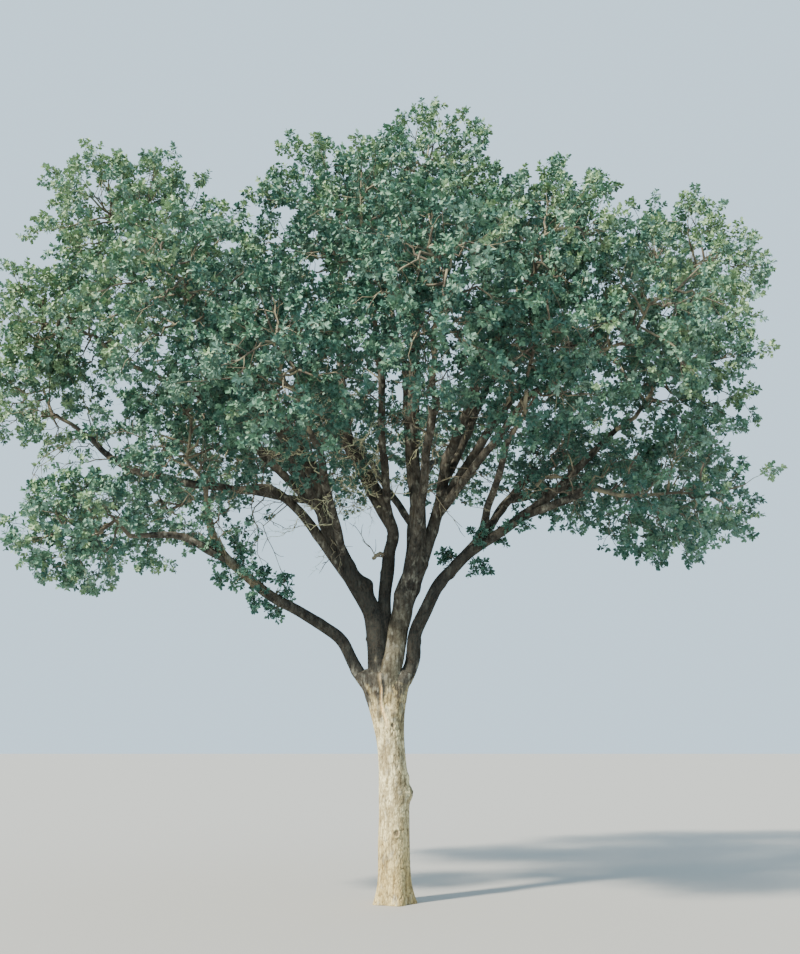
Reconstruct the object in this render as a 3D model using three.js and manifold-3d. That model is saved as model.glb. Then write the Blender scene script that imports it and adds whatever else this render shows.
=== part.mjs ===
// An open-grown oak in full summer leaf. A short trunk carries a fan of tapering boughs, and every
// bough ends in a mass of foliage: a stem, the twigs that branch from it, and the sprays of leaves
// on those. Each big leaf stands for one spray. Millimetres, +Z up. The origin is the middle of the
// flat cut under the trunk, +X is the right-hand side of the tree and +Y its back.
import * as THREE from 'three';
import { mergeVertices } from 'three/addons/utils/BufferGeometryUtils.js';
import Module from 'manifold-3d';

const wasm = await Module();
wasm.setup();

// Trunk: ring heights, the axis that it leans along, and the half width and half depth there.
const TRUNK_SIDES = 16;
const TRUNK_PROFILE = [
  // height, axis x, axis y, half width, half depth
  [0, 0, 0, 455, 455],
  [160, 0, 0, 425, 425],
  [380, 0, 0, 392, 392],
  [750, 0, 0, 372, 372],
  [1400, -3, 2, 362, 362],
  [2050, -5, 10, 355, 355],
  [2350, -8, 10, 352, 352],
  [2650, -15, 10, 346, 346],
  [3100, -48, 10, 334, 334],
  [3550, -90, 8, 334, 332],
  [3950, -140, 5, 375, 345],
  [4300, -180, 0, 440, 355],
  [4600, -205, 0, 510, 345],
  [4880, -195, 0, 520, 312],
  [5050, -175, 0, 440, 270],
  [5200, -150, 0, 330, 205],
  [5320, -145, 0, 220, 140],
  [5400, -145, 0, 115, 75],
];
const ROOT_FLARES = 5; // buttresses round the foot
const ROOT_FLARE_DEPTH = 0.13; // share of the radius
const ROOT_FLARE_SPREAD = 0.4; // how much of it goes all the way round
const ROOT_FLARE_HEIGHT = 420;
const ROOT_FLARE_TURN = 0.35; // radians
const BURLS = [
  // bearing in degrees from +X, height, how far it stands out, how wide it is
  { bearing: -12, height: 2380, proud: 105, spread: 190 },
  { bearing: -58, height: 4230, proud: 85, spread: 170 },
  { bearing: -40, height: 4560, proud: 70, spread: 190 },
];

// Limbs.
const MAIN_GIRTH = 260; // a bough thicker than this at its base is a main bough
const MAIN_SIDES = 8;
const SMALL_SIDES = 5;
const RING_SPACING_MAIN = 1450;
const RING_SPACING_SMALL = 2400;
const TIP_RADIUS = 62;
const COLLAR = 0.24; // how much the branch collar swells the base, as a share of its radius
const COLLAR_LENGTH = 450;
const TAPER = 0.62; // below 1 a limb keeps its girth for longer
const ARCH = { at: 0.45, rise: 0.09 }; // the bend of a limb with none of its own, as shares of its length
const CROOK = 0.009; // how far a limb wanders from its smooth line, as a share of its length
const CROOK_WAVES = [2.1, 1.6]; // sideways and upright
const CLEARANCE = 0.45; // gap between touching pieces

// Foliage. The stem of a mass goes on as its first twig, and the others branch from it, each
// further round than the last. From each side of a twig one leaf leans out, further the nearer it
// roots to the stem, and one more goes on from its end.
const GOLDEN_ANGLE = Math.PI * (3 - Math.sqrt(5));
const BOUGH_ENTERS = 0.86; // share of a mass's reach at which its bough ends
const STEM_SIDES = 4;
const STEM_END_RADIUS = 50;
const TWIGS = { full: 5, light: 4 }; // the stem counts as one
const TWIG_SPREAD = THREE.MathUtils.degToRad(128); // widest angle between a twig and the stem
const TWIG_REACH = 0.56; // share of the mass's reach
const TWIG_SIDES = 3;
const TWIG_RADII = [38, 46]; // where it leaves the stem, and at its end
const TWIGS_FROM_END = 900; // the length of bare stem end above the first branching twig
const TWIGS_FROM_BOUGH = 0.25; // share of the stem below the last one
const LEAF_LEAN = 48; // degrees, for the first leaf on a side
const LEAF_LEAN_STEP = 13;
const LEAF_FROM_END = 160; // along the twig, for the first leaf on a side
const LEAF_FROM_LAST = 260;
const LEAF_SUNK = 19; // how deep its root lies in the wood
const LEAF_LONGEST = 0.88; // share of the mass's reach
const LEAF_SHORTEST = 0.3;
const LEAF_STEP = 0.06;
const LEAF_WIDTHS = [1.02, 0.76]; // share of its length; the narrower where the wider won't fit
const LEAF_WIDEST = 0.52; // where along its length
const LEAF_THICKNESS = 0.05; // share of its length
const SPACE_MARGIN = 12; // gap left on each side of the border between two masses

// The limb plan. Each row is one bough and the mass of foliage at its tip: the limb that it
// springs from and how far along that is, the bends that it passes through if it doesn't simply
// arch over, its diameter at the base, and the centre, half width and half height of its foliage.
// A light mass has a twig fewer.
const PLAN = [
  {
    name: 'centre', from: 'trunk', at: 0.86, girth: 600,
    bends: [[20, -60, 5700], [200, -50, 6900], [600, 30, 8500], [450, -60, 10800], [560, -350, 14000]],
    centre: [800, -1300, 17300], half: [3100, 2350],
  },
  {
    name: 'left', from: 'trunk', at: 0.84, girth: 560,
    bends: [
      [-450, 20, 5450], [-620, -20, 6650], [-1450, -250, 8500], [-2150, -450, 10200],
      [-4300, -900, 13400],
    ],
    centre: [-6750, -1500, 16050], half: [2950, 2350],
  },
  {
    name: 'right', from: 'trunk', at: 0.82, girth: 390,
    bends: [[330, -20, 5200], [510, -60, 6150], [1250, -200, 7350], [2150, -400, 8200], [3800, -700, 9400]],
    centre: [6950, -1300, 12350], half: [2600, 2100], light: true,
  },
  {
    name: 'low_left', from: 'trunk', at: 0.8, girth: 340,
    bends: [[-740, -60, 5020], [-1350, -250, 5980], [-3000, -800, 6850], [-4150, -1300, 8000]],
    centre: [-4900, -2000, 10600], half: [2540, 1780], light: true,
  },
  {
    name: 'centre_left', from: 'left', at: 0.1, girth: 360,
    bends: [[-230, 20, 7300], [-60, 60, 8600], [-400, 0, 9700], [-1250, -250, 11400]],
    centre: [-1700, -1600, 16350], half: [2750, 2250],
  },
  {
    name: 'centre_right', from: 'centre', at: 0.24, girth: 350,
    bends: [[1200, 0, 9600], [1600, -150, 11200]],
    centre: [3500, -1700, 15750], half: [2850, 2350], light: true,
  },
  {
    name: 'low_left_side', from: 'low_left', at: 0.74, girth: 190,
    bends: [[-5000, -1600, 8150]],
    centre: [-7050, -2400, 8100], half: [1700, 1400], light: true,
  },
  {
    name: 'left_out', from: 'left', at: 0.33, girth: 250,
    bends: [[-2700, -100, 9450], [-4500, 150, 9750], [-7000, 300, 10500]],
    centre: [-9500, 300, 12300], half: [2300, 1500], light: true,
  },
  {
    name: 'left_high', from: 'left', at: 0.56, girth: 220,
    centre: [-8500, -600, 13800], half: [2600, 2050], light: true,
  },
  {
    name: 'front_left', from: 'left', at: 0.5, girth: 230,
    centre: [-4500, -4300, 12700], half: [3000, 2500],
  },
  {
    name: 'right_rising', from: 'right', at: 0.655, girth: 240,
    bends: [[2280, -500, 8950]],
    centre: [2900, -4600, 11200], half: [2600, 2000], light: true,
  },
  {
    name: 'low_right', from: 'right', at: 0.76, girth: 200,
    centre: [6250, -2200, 9150], half: [2650, 1780], light: true,
  },
  {
    name: 'inner_right', from: 'right', at: 0.58, girth: 170,
    centre: [4500, 1200, 10600], half: [1940, 1400], light: true,
  },
  {
    name: 'right_high', from: 'centre_right', at: 0.3, girth: 240,
    bends: [[3600, -500, 12700]],
    centre: [7200, -1200, 14950], half: [2700, 2320], light: true,
  },
  {
    name: 'front_right', from: 'centre_right', at: 0.26, girth: 220,
    centre: [5300, -4200, 12500], half: [2800, 2300], light: true,
  },
  {
    name: 'front', from: 'centre', at: 0.34, girth: 240,
    bends: [[900, -2100, 10700]],
    centre: [800, -5900, 12150], half: [2850, 2250], light: true,
  },
  {
    name: 'front_low_left', from: 'left', at: 0.45, girth: 210,
    centre: [-2200, -5300, 10900], half: [2500, 1950], light: true,
  },
  {
    name: 'upper_front', from: 'centre_left', at: 0.5, girth: 200,
    centre: [-600, -4000, 14500], half: [2700, 2150], light: true,
  },
  {
    name: 'upper_front_right', from: 'centre_right', at: 0.45, girth: 190,
    centre: [3300, -4300, 13800], half: [2450, 1950], light: true,
  },
  {
    name: 'back_top', from: 'centre', at: 0.58, girth: 220,
    centre: [-300, 2700, 17200], half: [2700, 2210], light: true,
  },
  {
    name: 'back_upper_left', from: 'centre_left', at: 0.4, girth: 230,
    centre: [-4500, 2500, 15900], half: [2900, 2400], light: true,
  },
  {
    name: 'back_upper_right', from: 'centre_right', at: 0.36, girth: 220,
    centre: [4400, 2700, 15700], half: [2900, 2400], light: true,
  },
  {
    name: 'back', from: 'centre', at: 0.3, girth: 270,
    bends: [[700, 2300, 10500]],
    centre: [2000, 7000, 13300], half: [2750, 2210], light: true,
  },
  {
    name: 'back_left', from: 'left', at: 0.36, girth: 270,
    bends: [[-2700, 1700, 10700]],
    centre: [-5300, 5200, 12900], half: [2750, 2210], light: true,
  },
  {
    name: 'back_right', from: 'right', at: 0.5, girth: 250,
    bends: [[3700, 1900, 10500]],
    centre: [5700, 5300, 12700], half: [2750, 2210], light: true,
  },
  {
    name: 'back_inner', from: 'back', at: 0.3, girth: 200,
    centre: [-2300, 6900, 13300], half: [2750, 2210], light: true,
  },
  {
    name: 'low_back_left', from: 'back_left', at: 0.35, girth: 190,
    centre: [-7100, 3700, 10000], half: [2380, 1840], light: true,
  },
  {
    name: 'low_back_right', from: 'back_right', at: 0.35, girth: 190,
    centre: [7700, 2900, 10200], half: [2380, 1840], light: true,
  },
];

// Bark and leaf colours.
const BARK = new THREE.MeshStandardMaterial({ color: 0x8f8776, roughness: 0.95, metalness: 0 });
const LIMB_BARK = new THREE.MeshStandardMaterial({ color: 0x6d665b, roughness: 0.95, metalness: 0 });
const LEAF = new THREE.MeshStandardMaterial({ color: 0x4f6b3c, roughness: 0.6, metalness: 0 });

const UP = new THREE.Vector3(0, 0, 1);

// A repeatable draw between 0 and 1.
function draw(seed, k) {
  const x = Math.sin(seed * 12.9898 + k * 78.233) * 43758.5453;
  return x - Math.floor(x);
}

// A closed three.js geometry as a solid.
function solidOf(geometry) {
  const g = geometry.clone();
  g.deleteAttribute('normal');
  g.deleteAttribute('uv');
  const merged = mergeVertices(g, 1e-3);
  return new wasm.Manifold(new wasm.Mesh({
    numProp: 3,
    vertProperties: Float32Array.from(merged.attributes.position.array),
    triVerts: Uint32Array.from(merged.index.array),
  }));
}

// The largest body of a solid, as a named mesh: cuts can leave loose scraps.
function meshOf(solid, name, material) {
  const body = solid.decompose().reduce((a, b) => (b.volume() > a.volume() ? b : a));
  const { numProp, vertProperties, triVerts, numVert } = body.getMesh();
  const position = new Float32Array(numVert * 3);
  for (let i = 0; i < numVert; i++) {
    position.set(vertProperties.subarray(i * numProp, i * numProp + 3), i * 3);
  }
  const geometry = new THREE.BufferGeometry();
  geometry.setAttribute('position', new THREE.BufferAttribute(position, 3));
  geometry.setIndex(new THREE.BufferAttribute(Uint32Array.from(triVerts), 1));
  geometry.computeVertexNormals();
  const mesh = new THREE.Mesh(geometry, material);
  mesh.name = name;
  return mesh;
}

// A cylinder of unit size whose every vertex is moved to place(angle, share along, share of radius).
function bentCylinder(sides, rings, place) {
  const geometry = new THREE.CylinderGeometry(1, 1, 1, sides, rings);
  const position = geometry.attributes.position;
  for (let i = 0; i < position.count; i++) {
    const [x, y, z] = [position.getX(i), position.getY(i), position.getZ(i)];
    const point = place(Math.atan2(x, z), y + 0.5, Math.hypot(x, z));
    position.setXYZ(i, point.x, point.y, point.z);
  }
  return solidOf(geometry);
}

// Trunk: level rings on a leaning axis, with root flares at the foot and burls on its side.
function trunkRadius(bearing, height, radius) {
  const flare = ROOT_FLARE_DEPTH * Math.exp(-height / ROOT_FLARE_HEIGHT)
    * (ROOT_FLARE_SPREAD + Math.cos(ROOT_FLARES * bearing + ROOT_FLARE_TURN));
  let r = radius * (1 + flare);
  for (const burl of BURLS) {
    const turn = bearing - THREE.MathUtils.degToRad(burl.bearing);
    const across = Math.atan2(Math.sin(turn), Math.cos(turn)) * radius;
    const off = Math.hypot(across, height - burl.height) / burl.spread;
    r += burl.proud * Math.exp(-off * off);
  }
  return r;
}

function trunkRing(share) {
  const place = share * (TRUNK_PROFILE.length - 1);
  const low = Math.min(Math.floor(place), TRUNK_PROFILE.length - 2);
  return TRUNK_PROFILE[low].map((v, i) => v + (TRUNK_PROFILE[low + 1][i] - v) * (place - low));
}

function trunkSolid(grow) {
  return bentCylinder(TRUNK_SIDES, TRUNK_PROFILE.length - 1, (bearing, share, out) => {
    const [height, x, y, halfWidth, halfDepth] = trunkRing(share);
    const wide = (trunkRadius(bearing, height, halfWidth) + grow) * out;
    const deep = (trunkRadius(bearing, height, halfDepth) + grow) * out;
    const lift = height > 0 ? grow : 0;
    return new THREE.Vector3(x + wide * Math.cos(bearing), y + deep * Math.sin(bearing), height + lift);
  });
}

// Where a limb springs from on the trunk: the point of its axis at a share of its height.
function trunkPoint(share) {
  const height = share * TRUNK_PROFILE.at(-1)[0];
  const above = Math.max(1, TRUNK_PROFILE.findIndex((ring) => ring[0] >= height));
  const [a, b] = [TRUNK_PROFILE[above - 1], TRUNK_PROFILE[above]];
  const t = (height - a[0]) / (b[0] - a[0]);
  return new THREE.Vector3(a[1] + (b[1] - a[1]) * t, a[2] + (b[2] - a[2]) * t, height);
}

// A mass's ellipsoid: how far it reaches from its centre along a direction.
function ellipsoidReach(row, direction) {
  const [wide, high] = row.half;
  const { x, y, z } = direction;
  return 1 / Math.sqrt((x * x + y * y) / (wide * wide) + (z * z) / (high * high));
}

// The centreline of a limb: a smooth curve from its parent through its bends to its tip, which
// lies just inside its mass, and a slight crook that dies out at both ends.
function limbCurve(row, start, seed) {
  const centre = new THREE.Vector3(...row.centre);
  const arch = start.clone().lerp(centre, ARCH.at).addScaledVector(UP, ARCH.rise * start.distanceTo(centre));
  const bends = row.bends ? row.bends.map((bend) => new THREE.Vector3(...bend)) : [arch];
  const through = [start, ...bends];
  const inward = through.at(-1).clone().sub(centre).normalize();
  const tip = centre.clone().addScaledVector(inward, BOUGH_ENTERS * ellipsoidReach(row, inward));
  const curve = new THREE.CatmullRomCurve3([...through, tip], false, 'catmullrom', 0.5);
  const length = curve.getLength();
  const chord = tip.clone().sub(start).normalize();
  const sideways = new THREE.Vector3().crossVectors(chord, UP).normalize();
  const upright = new THREE.Vector3().crossVectors(sideways, chord);
  const turns = [draw(seed, 1), draw(seed, 2)];
  const point = (t) => {
    const fade = Math.sin(Math.PI * t) * CROOK * length;
    return curve.getPoint(t)
      .addScaledVector(sideways, fade * Math.sin(2 * Math.PI * (CROOK_WAVES[0] * t + turns[0])))
      .addScaledVector(upright, fade * Math.sin(2 * Math.PI * (CROOK_WAVES[1] * t + turns[1])));
  };
  return { point, length };
}

// A limb's radius: it tapers to its tip, and its collar swells where it leaves its parent.
function limbRadius(limb, t) {
  const base = limb.row.girth / 2;
  const taper = TIP_RADIUS + (base - TIP_RADIUS) * (1 - t) ** TAPER;
  return taper + base * COLLAR * Math.exp(-(t * limb.length) / COLLAR_LENGTH);
}

// Rings of a limb: points along it, each with two directions square to it, carried along so that
// the tube doesn't twist.
function ringsAlong(point, count) {
  const rings = [];
  let side = null;
  for (let i = 0; i <= count; i++) {
    const t = i / count;
    const ahead = point(Math.min(t + 0.01, 1)).sub(point(Math.max(t - 0.01, 0))).normalize();
    const start = side ?? new THREE.Vector3().crossVectors(ahead, new THREE.Vector3(0.3, 1, 0.2));
    side = start.clone().addScaledVector(ahead, -start.dot(ahead)).normalize();
    rings.push({ centre: point(t), ahead, side, over: new THREE.Vector3().crossVectors(ahead, side) });
  }
  return rings;
}

function limbSolid(limb, grow) {
  const main = limb.row.girth >= MAIN_GIRTH;
  const count = Math.max(4, Math.round(limb.length / (main ? RING_SPACING_MAIN : RING_SPACING_SMALL)));
  const rings = ringsAlong(limb.point, count);
  return bentCylinder(main ? MAIN_SIDES : SMALL_SIDES, count, (angle, share, out) => {
    const i = Math.round(share * count);
    const { centre, ahead, side, over } = rings[i];
    const r = (limbRadius(limb, i / count) + grow) * out;
    const past = grow * (Number(i === count) - Number(i === 0));
    return centre.clone()
      .addScaledVector(side, r * Math.cos(angle))
      .addScaledVector(over, r * Math.sin(angle))
      .addScaledVector(ahead, past);
  });
}

// Two directions square to a heading and to each other, turned round it.
function squareTo(heading, turn) {
  const other = Math.abs(heading.z) > 0.9 ? new THREE.Vector3(1, 0, 0) : UP;
  const side = new THREE.Vector3().crossVectors(heading, other).normalize().applyAxisAngle(heading, turn);
  return [side, new THREE.Vector3().crossVectors(heading, side)];
}

// A straight twig of a few flat sides.
function twigSolid({ from, to, frame, radii, sides }) {
  return bentCylinder(sides, 1, (angle, share, out) => {
    const r = (radii[0] + (radii[1] - radii[0]) * share) * out;
    return from.clone().lerp(to, share)
      .addScaledVector(frame[0], r * Math.cos(angle))
      .addScaledVector(frame[1], r * Math.sin(angle));
  });
}

// The corners of a leaf that faces a given way: root, tip, two sides, top and bottom.
function leafCorners(root, along, length, width, facing) {
  const face = facing.clone().addScaledVector(along, -facing.dot(along)).normalize();
  const across = new THREE.Vector3().crossVectors(face, along);
  const middle = root.clone().addScaledVector(along, length * LEAF_WIDEST);
  const half = (length * width) / 2;
  const thick = (length * LEAF_THICKNESS) / 2;
  return {
    root,
    tip: root.clone().addScaledVector(along, length),
    left: middle.clone().addScaledVector(across, half),
    right: middle.clone().addScaledVector(across, -half),
    top: middle.clone().addScaledVector(face, thick),
    bottom: middle.clone().addScaledVector(face, -thick),
  };
}

// A leaf: an octahedron whose six corners are drawn out into a thin blade.
function leafSolid(corners) {
  const geometry = new THREE.OctahedronGeometry(1, 0);
  const position = geometry.attributes.position;
  for (let i = 0; i < position.count; i++) {
    const [x, y, z] = [position.getX(i), position.getY(i), position.getZ(i)];
    let corner = z > 0.5 ? corners.top : corners.bottom;
    if (Math.abs(x) > 0.5) corner = x > 0 ? corners.tip : corners.root;
    if (Math.abs(y) > 0.5) corner = y > 0 ? corners.left : corners.right;
    position.setXYZ(i, corner.x, corner.y, corner.z);
  }
  return solidOf(geometry);
}

// The space of one mass: its ellipsoid, cut by a flat border half-way to each neighbour.
function spaceOf(row) {
  const centre = new THREE.Vector3(...row.centre);
  const borders = [];
  for (const other of PLAN) {
    if (other === row) continue;
    const normal = new THREE.Vector3(...other.centre).sub(centre);
    const distance = normal.length();
    normal.normalize();
    const mine = ellipsoidReach(row, normal);
    const theirs = ellipsoidReach(other, normal);
    const border = (distance * mine) / (mine + theirs) - SPACE_MARGIN;
    if (border < mine) borders.push({ normal, border });
  }
  const reach = (direction) => borders.reduce((least, { normal, border }) => {
    const towards = direction.dot(normal);
    return towards > 1e-6 ? Math.min(least, border / towards) : least;
  }, ellipsoidReach(row, direction));
  const holds = (point) => {
    const offset = point.clone().sub(centre);
    const distance = offset.length();
    return distance < 1 || distance <= reach(offset.normalize());
  };
  return { centre, reach, holds };
}

// A heading leant over by an angle towards the first of a frame's directions, turned round it.
function lean(heading, frame, angle, turn) {
  return heading.clone().multiplyScalar(Math.cos(angle))
    .addScaledVector(frame[0], Math.sin(angle) * Math.cos(turn))
    .addScaledVector(frame[1], Math.sin(angle) * Math.sin(turn));
}

// The wood of one stem or twig: a straight tapering piece of a few sides.
function pieceOfWood(from, to, radii, sides, turn) {
  const heading = to.clone().sub(from).normalize();
  return { from, to, heading, length: from.distanceTo(to), radii, sides, frame: squareTo(heading, turn) };
}

// The stem of a mass and its twigs: their headings spread evenly round the stem's, and they leave
// it one after another from its end down.
function branching(limb, space, seed) {
  const tip = limb.point(1);
  const heading = space.centre.clone().sub(tip).normalize();
  const reachTo = (direction) => space.centre.clone()
    .addScaledVector(direction, TWIG_REACH * space.reach(direction));
  const from = tip.clone().addScaledVector(heading, -TIP_RADIUS / 2);
  const turn = 2 * Math.PI * draw(seed, 3);
  const stem = pieceOfWood(from, reachTo(heading), [TIP_RADIUS, STEM_END_RADIUS], STEM_SIDES, turn);
  const highest = 1 - TWIGS_FROM_END / stem.length;
  const count = limb.row.light ? TWIGS.light : TWIGS.full;
  const twigs = Array.from({ length: count - 1 }, (_, i) => {
    const share = (i + 1) / (count - 0.5);
    const angle = Math.acos(1 - share * (1 - Math.cos(TWIG_SPREAD)));
    const root = stem.from.clone().lerp(stem.to, highest + (TWIGS_FROM_BOUGH - highest) * share);
    const end = reachTo(lean(heading, stem.frame, angle, (i + 1) * GOLDEN_ANGLE));
    return pieceOfWood(root, end, TWIG_RADII, TWIG_SIDES, 2 * Math.PI * draw(seed, 10 + i));
  });
  return [stem, ...twigs];
}

// Where the leaves of a twig root, and where they head: one at its end, one on each side.
function leafPlaces(twig) {
  const end = { root: twig.to.clone().addScaledVector(twig.heading, -LEAF_SUNK), along: twig.heading };
  const depth = twig.radii[1] * Math.cos(Math.PI / twig.sides) - LEAF_SUNK;
  const sides = Array.from({ length: twig.sides }, (_, k) => {
    const turn = ((2 * k + 1) * Math.PI) / twig.sides;
    const outward = lean(twig.heading, twig.frame, Math.PI / 2, turn);
    const angle = THREE.MathUtils.degToRad(LEAF_LEAN + k * LEAF_LEAN_STEP);
    const root = twig.to.clone()
      .addScaledVector(twig.heading, -(LEAF_FROM_END + k * LEAF_FROM_LAST))
      .addScaledVector(outward, depth);
    return { root, along: lean(twig.heading, twig.frame, angle, turn) };
  });
  return [end, ...sides];
}

// The leaf at one place, as long and as wide as the space and the pieces near it allow.
function leafAt({ root, along }, twig, space, fits) {
  const outward = root.clone().sub(space.centre).normalize();
  const reach = space.reach(outward);
  const facing = along === twig.heading ? UP : outward.add(twig.heading);
  for (const width of LEAF_WIDTHS) {
    for (let share = LEAF_LONGEST; share >= LEAF_SHORTEST; share -= LEAF_STEP) {
      const corners = leafCorners(root, along, share * reach, width, facing);
      if (!Object.values(corners).every(space.holds)) continue;
      const leaf = leafSolid(corners);
      if (fits(leaf)) return leaf;
    }
  }
  return null;
}

// One mass of foliage: a stem, twigs that branch from it, and leaves rooted in those. A piece that
// would leave the mass's space or touch a limb is skipped.
function foliageSolid(limb, obstacles, seed) {
  const space = spaceOf(limb.row);
  const near = obstacles.filter((o) => o.limb !== limb && boxesMeet(o.solid, space, limb.row));
  const clearOf = (others) => (solid) => others.every((other) => other.intersect(solid).isEmpty());
  const offLimbs = clearOf(near.map((o) => o.solid));
  const wood = [];
  const leaves = [];
  for (const twig of branching(limb, space, seed)) {
    const solid = twigSolid(twig);
    if (!offLimbs(solid)) continue;
    wood.push(solid);
    for (const place of leafPlaces(twig)) {
      const offLeaves = clearOf(leaves);
      const leaf = leafAt(place, twig, space, (blade) => offLimbs(blade) && offLeaves(blade));
      if (leaf) leaves.push(leaf);
    }
  }
  return wasm.Manifold.union([...wood, ...leaves]).subtract(limb.grown);
}

// Whether a limb's box comes near a mass's space.
function boxesMeet(solid, space, row) {
  const { min, max } = solid.boundingBox();
  const half = [row.half[0], row.half[0], row.half[1]];
  return space.centre.toArray().every((c, i) => min[i] < c + half[i] && max[i] > c - half[i]);
}

// The whole tree: trunk, then each bough cut clear of the limbs before it, then the foliage.
const tree = new THREE.Group();
tree.name = 'oak';
const trunkGrown = trunkSolid(CLEARANCE);
tree.add(meshOf(trunkSolid(0), 'trunk', BARK));

const limbs = new Map();
const obstacles = [{ limb: null, solid: trunkGrown }];
PLAN.forEach((row, seed) => {
  const start = row.from === 'trunk' ? trunkPoint(row.at) : limbs.get(row.from).point(row.at);
  const limb = { row, ...limbCurve(row, start, seed) };
  limb.grown = limbSolid(limb, CLEARANCE);
  limb.solid = obstacles.reduce((solid, o) => solid.subtract(o.solid), limbSolid(limb, 0));
  limbs.set(row.name, limb);
  obstacles.push({ limb, solid: limb.grown });
  tree.add(meshOf(limb.solid, `bough_${row.name}`, LIMB_BARK));
});

PLAN.forEach((row, seed) => {
  const solid = foliageSolid(limbs.get(row.name), obstacles, seed);
  tree.add(meshOf(solid, `foliage_${row.name}`, LEAF));
});

export default tree;
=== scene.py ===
"""An open-grown oak in full summer leaf, rooted in the ground.

A pale trunk with a flared foot leans a little to the left as it rises and opens into a fan of
boughs. Each bough arches out through its bends and ends in its own mass of foliage: a stem, the
branches that leave it one after another by the golden angle, their twigs, and rosettes of lobed
leaves at the twig ends. Metres, +Z up. The origin is the middle of the cut under the trunk, +X is
the right-hand side of the tree and +Y its back.
"""

import bpy
import numpy as np
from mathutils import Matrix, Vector


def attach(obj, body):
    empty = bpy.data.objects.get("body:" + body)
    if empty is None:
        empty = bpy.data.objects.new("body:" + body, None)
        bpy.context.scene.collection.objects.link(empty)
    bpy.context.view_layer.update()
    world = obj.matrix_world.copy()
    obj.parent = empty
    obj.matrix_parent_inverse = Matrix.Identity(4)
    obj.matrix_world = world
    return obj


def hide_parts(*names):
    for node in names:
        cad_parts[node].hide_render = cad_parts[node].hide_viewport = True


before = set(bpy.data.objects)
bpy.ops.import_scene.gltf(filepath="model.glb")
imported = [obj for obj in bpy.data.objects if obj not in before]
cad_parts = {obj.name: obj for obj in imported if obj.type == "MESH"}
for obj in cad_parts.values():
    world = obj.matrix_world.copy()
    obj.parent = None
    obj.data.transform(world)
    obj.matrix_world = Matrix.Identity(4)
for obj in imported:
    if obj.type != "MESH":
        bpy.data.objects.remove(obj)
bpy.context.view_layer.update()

# Floor, light and camera. The floor is one wide pale sheet that runs out to the horizon, the sky a
# plain pale light, and a soft low sun stands behind the camera's left shoulder. The camera is held
# a little above head height and looks up at the crown.
FLOOR_REACH = 900.0
FLOOR_COLOUR = (0.37, 0.36, 0.345, 1)
SKY_COLOUR = (0.61, 0.81, 0.95, 1)
SKY_STRENGTH = 1.42
SUN_HEADING = Vector((0.74, 0.59, -0.72))
SUN_STRENGTH = 10.5
SUN_COLOUR = (1.0, 0.93, 0.77)
SUN_SOFTNESS = np.radians(5)
CAMERA_PLACE = (0.136, -23.634, 3.345)
CAMERA_PITCH = np.radians(15.874)
CAMERA_LENS = 36.226
SENSOR_HEIGHT = 36.0


def mesh_of(name, points, *face_sets):
    """A mesh of the given points: each face set is a table with one row of corner numbers a face."""
    corners = np.concatenate([faces.ravel() for faces in face_sets])
    sizes = np.concatenate([np.full(len(faces), faces.shape[1]) for faces in face_sets])
    mesh = bpy.data.meshes.new(name)
    mesh.vertices.add(len(points))
    mesh.vertices.foreach_set("co", np.ascontiguousarray(points, dtype=np.float32).ravel())
    mesh.loops.add(len(corners))
    mesh.loops.foreach_set("vertex_index", corners.astype(np.int32))
    mesh.polygons.add(len(sizes))
    mesh.polygons.foreach_set("loop_start", (np.cumsum(sizes) - sizes).astype(np.int32))
    mesh.update(calc_edges=True)
    return mesh


def piece_of(mesh, *materials):
    """The mesh as an object of the same name at the origin, with its materials in order."""
    piece = bpy.data.objects.new(mesh.name, mesh)
    for material in materials:
        mesh.materials.append(material)
    bpy.context.scene.collection.objects.link(piece)
    return piece


def new_material(name, roughness):
    """A material of that roughness, with its node tree and the inputs of its main shader."""
    material = bpy.data.materials.new(name)
    material.use_nodes = True
    inputs = material.node_tree.nodes["Principled BSDF"].inputs
    inputs["Roughness"].default_value = roughness
    return material, material.node_tree, inputs


floor_corners = FLOOR_REACH * np.array([[-1, -1, 0], [1, -1, 0], [1, 1, 0], [-1, 1, 0]])
floor_paint, _, floor_inputs = new_material("pale floor", roughness=0.9)
floor_inputs["Base Color"].default_value = FLOOR_COLOUR
floor = piece_of(mesh_of("floor", floor_corners, np.array([[0, 1, 2, 3]])), floor_paint)

sky = bpy.data.worlds.new("pale sky")
sky.use_nodes = True
sky_inputs = sky.node_tree.nodes["Background"].inputs
sky_inputs["Color"].default_value = SKY_COLOUR
sky_inputs["Strength"].default_value = SKY_STRENGTH
bpy.context.scene.world = sky

sun = bpy.data.objects.new("soft sun", bpy.data.lights.new("soft sun", "SUN"))
sun.data.energy = SUN_STRENGTH
sun.data.angle = SUN_SOFTNESS
sun.data.color = SUN_COLOUR
sun.rotation_euler = SUN_HEADING.to_track_quat("-Z", "Y").to_euler()
bpy.context.scene.collection.objects.link(sun)

camera = bpy.data.objects.new("camera", bpy.data.cameras.new("camera"))
camera.location = CAMERA_PLACE
camera.rotation_euler = (np.pi / 2 + CAMERA_PITCH, 0, 0)
camera.data.sensor_fit = "VERTICAL"
camera.data.sensor_height = SENSOR_HEIGHT
camera.data.lens = CAMERA_LENS
camera.data.clip_end = 2 * FLOOR_REACH
bpy.context.scene.collection.objects.link(camera)
bpy.context.scene.camera = camera

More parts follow.
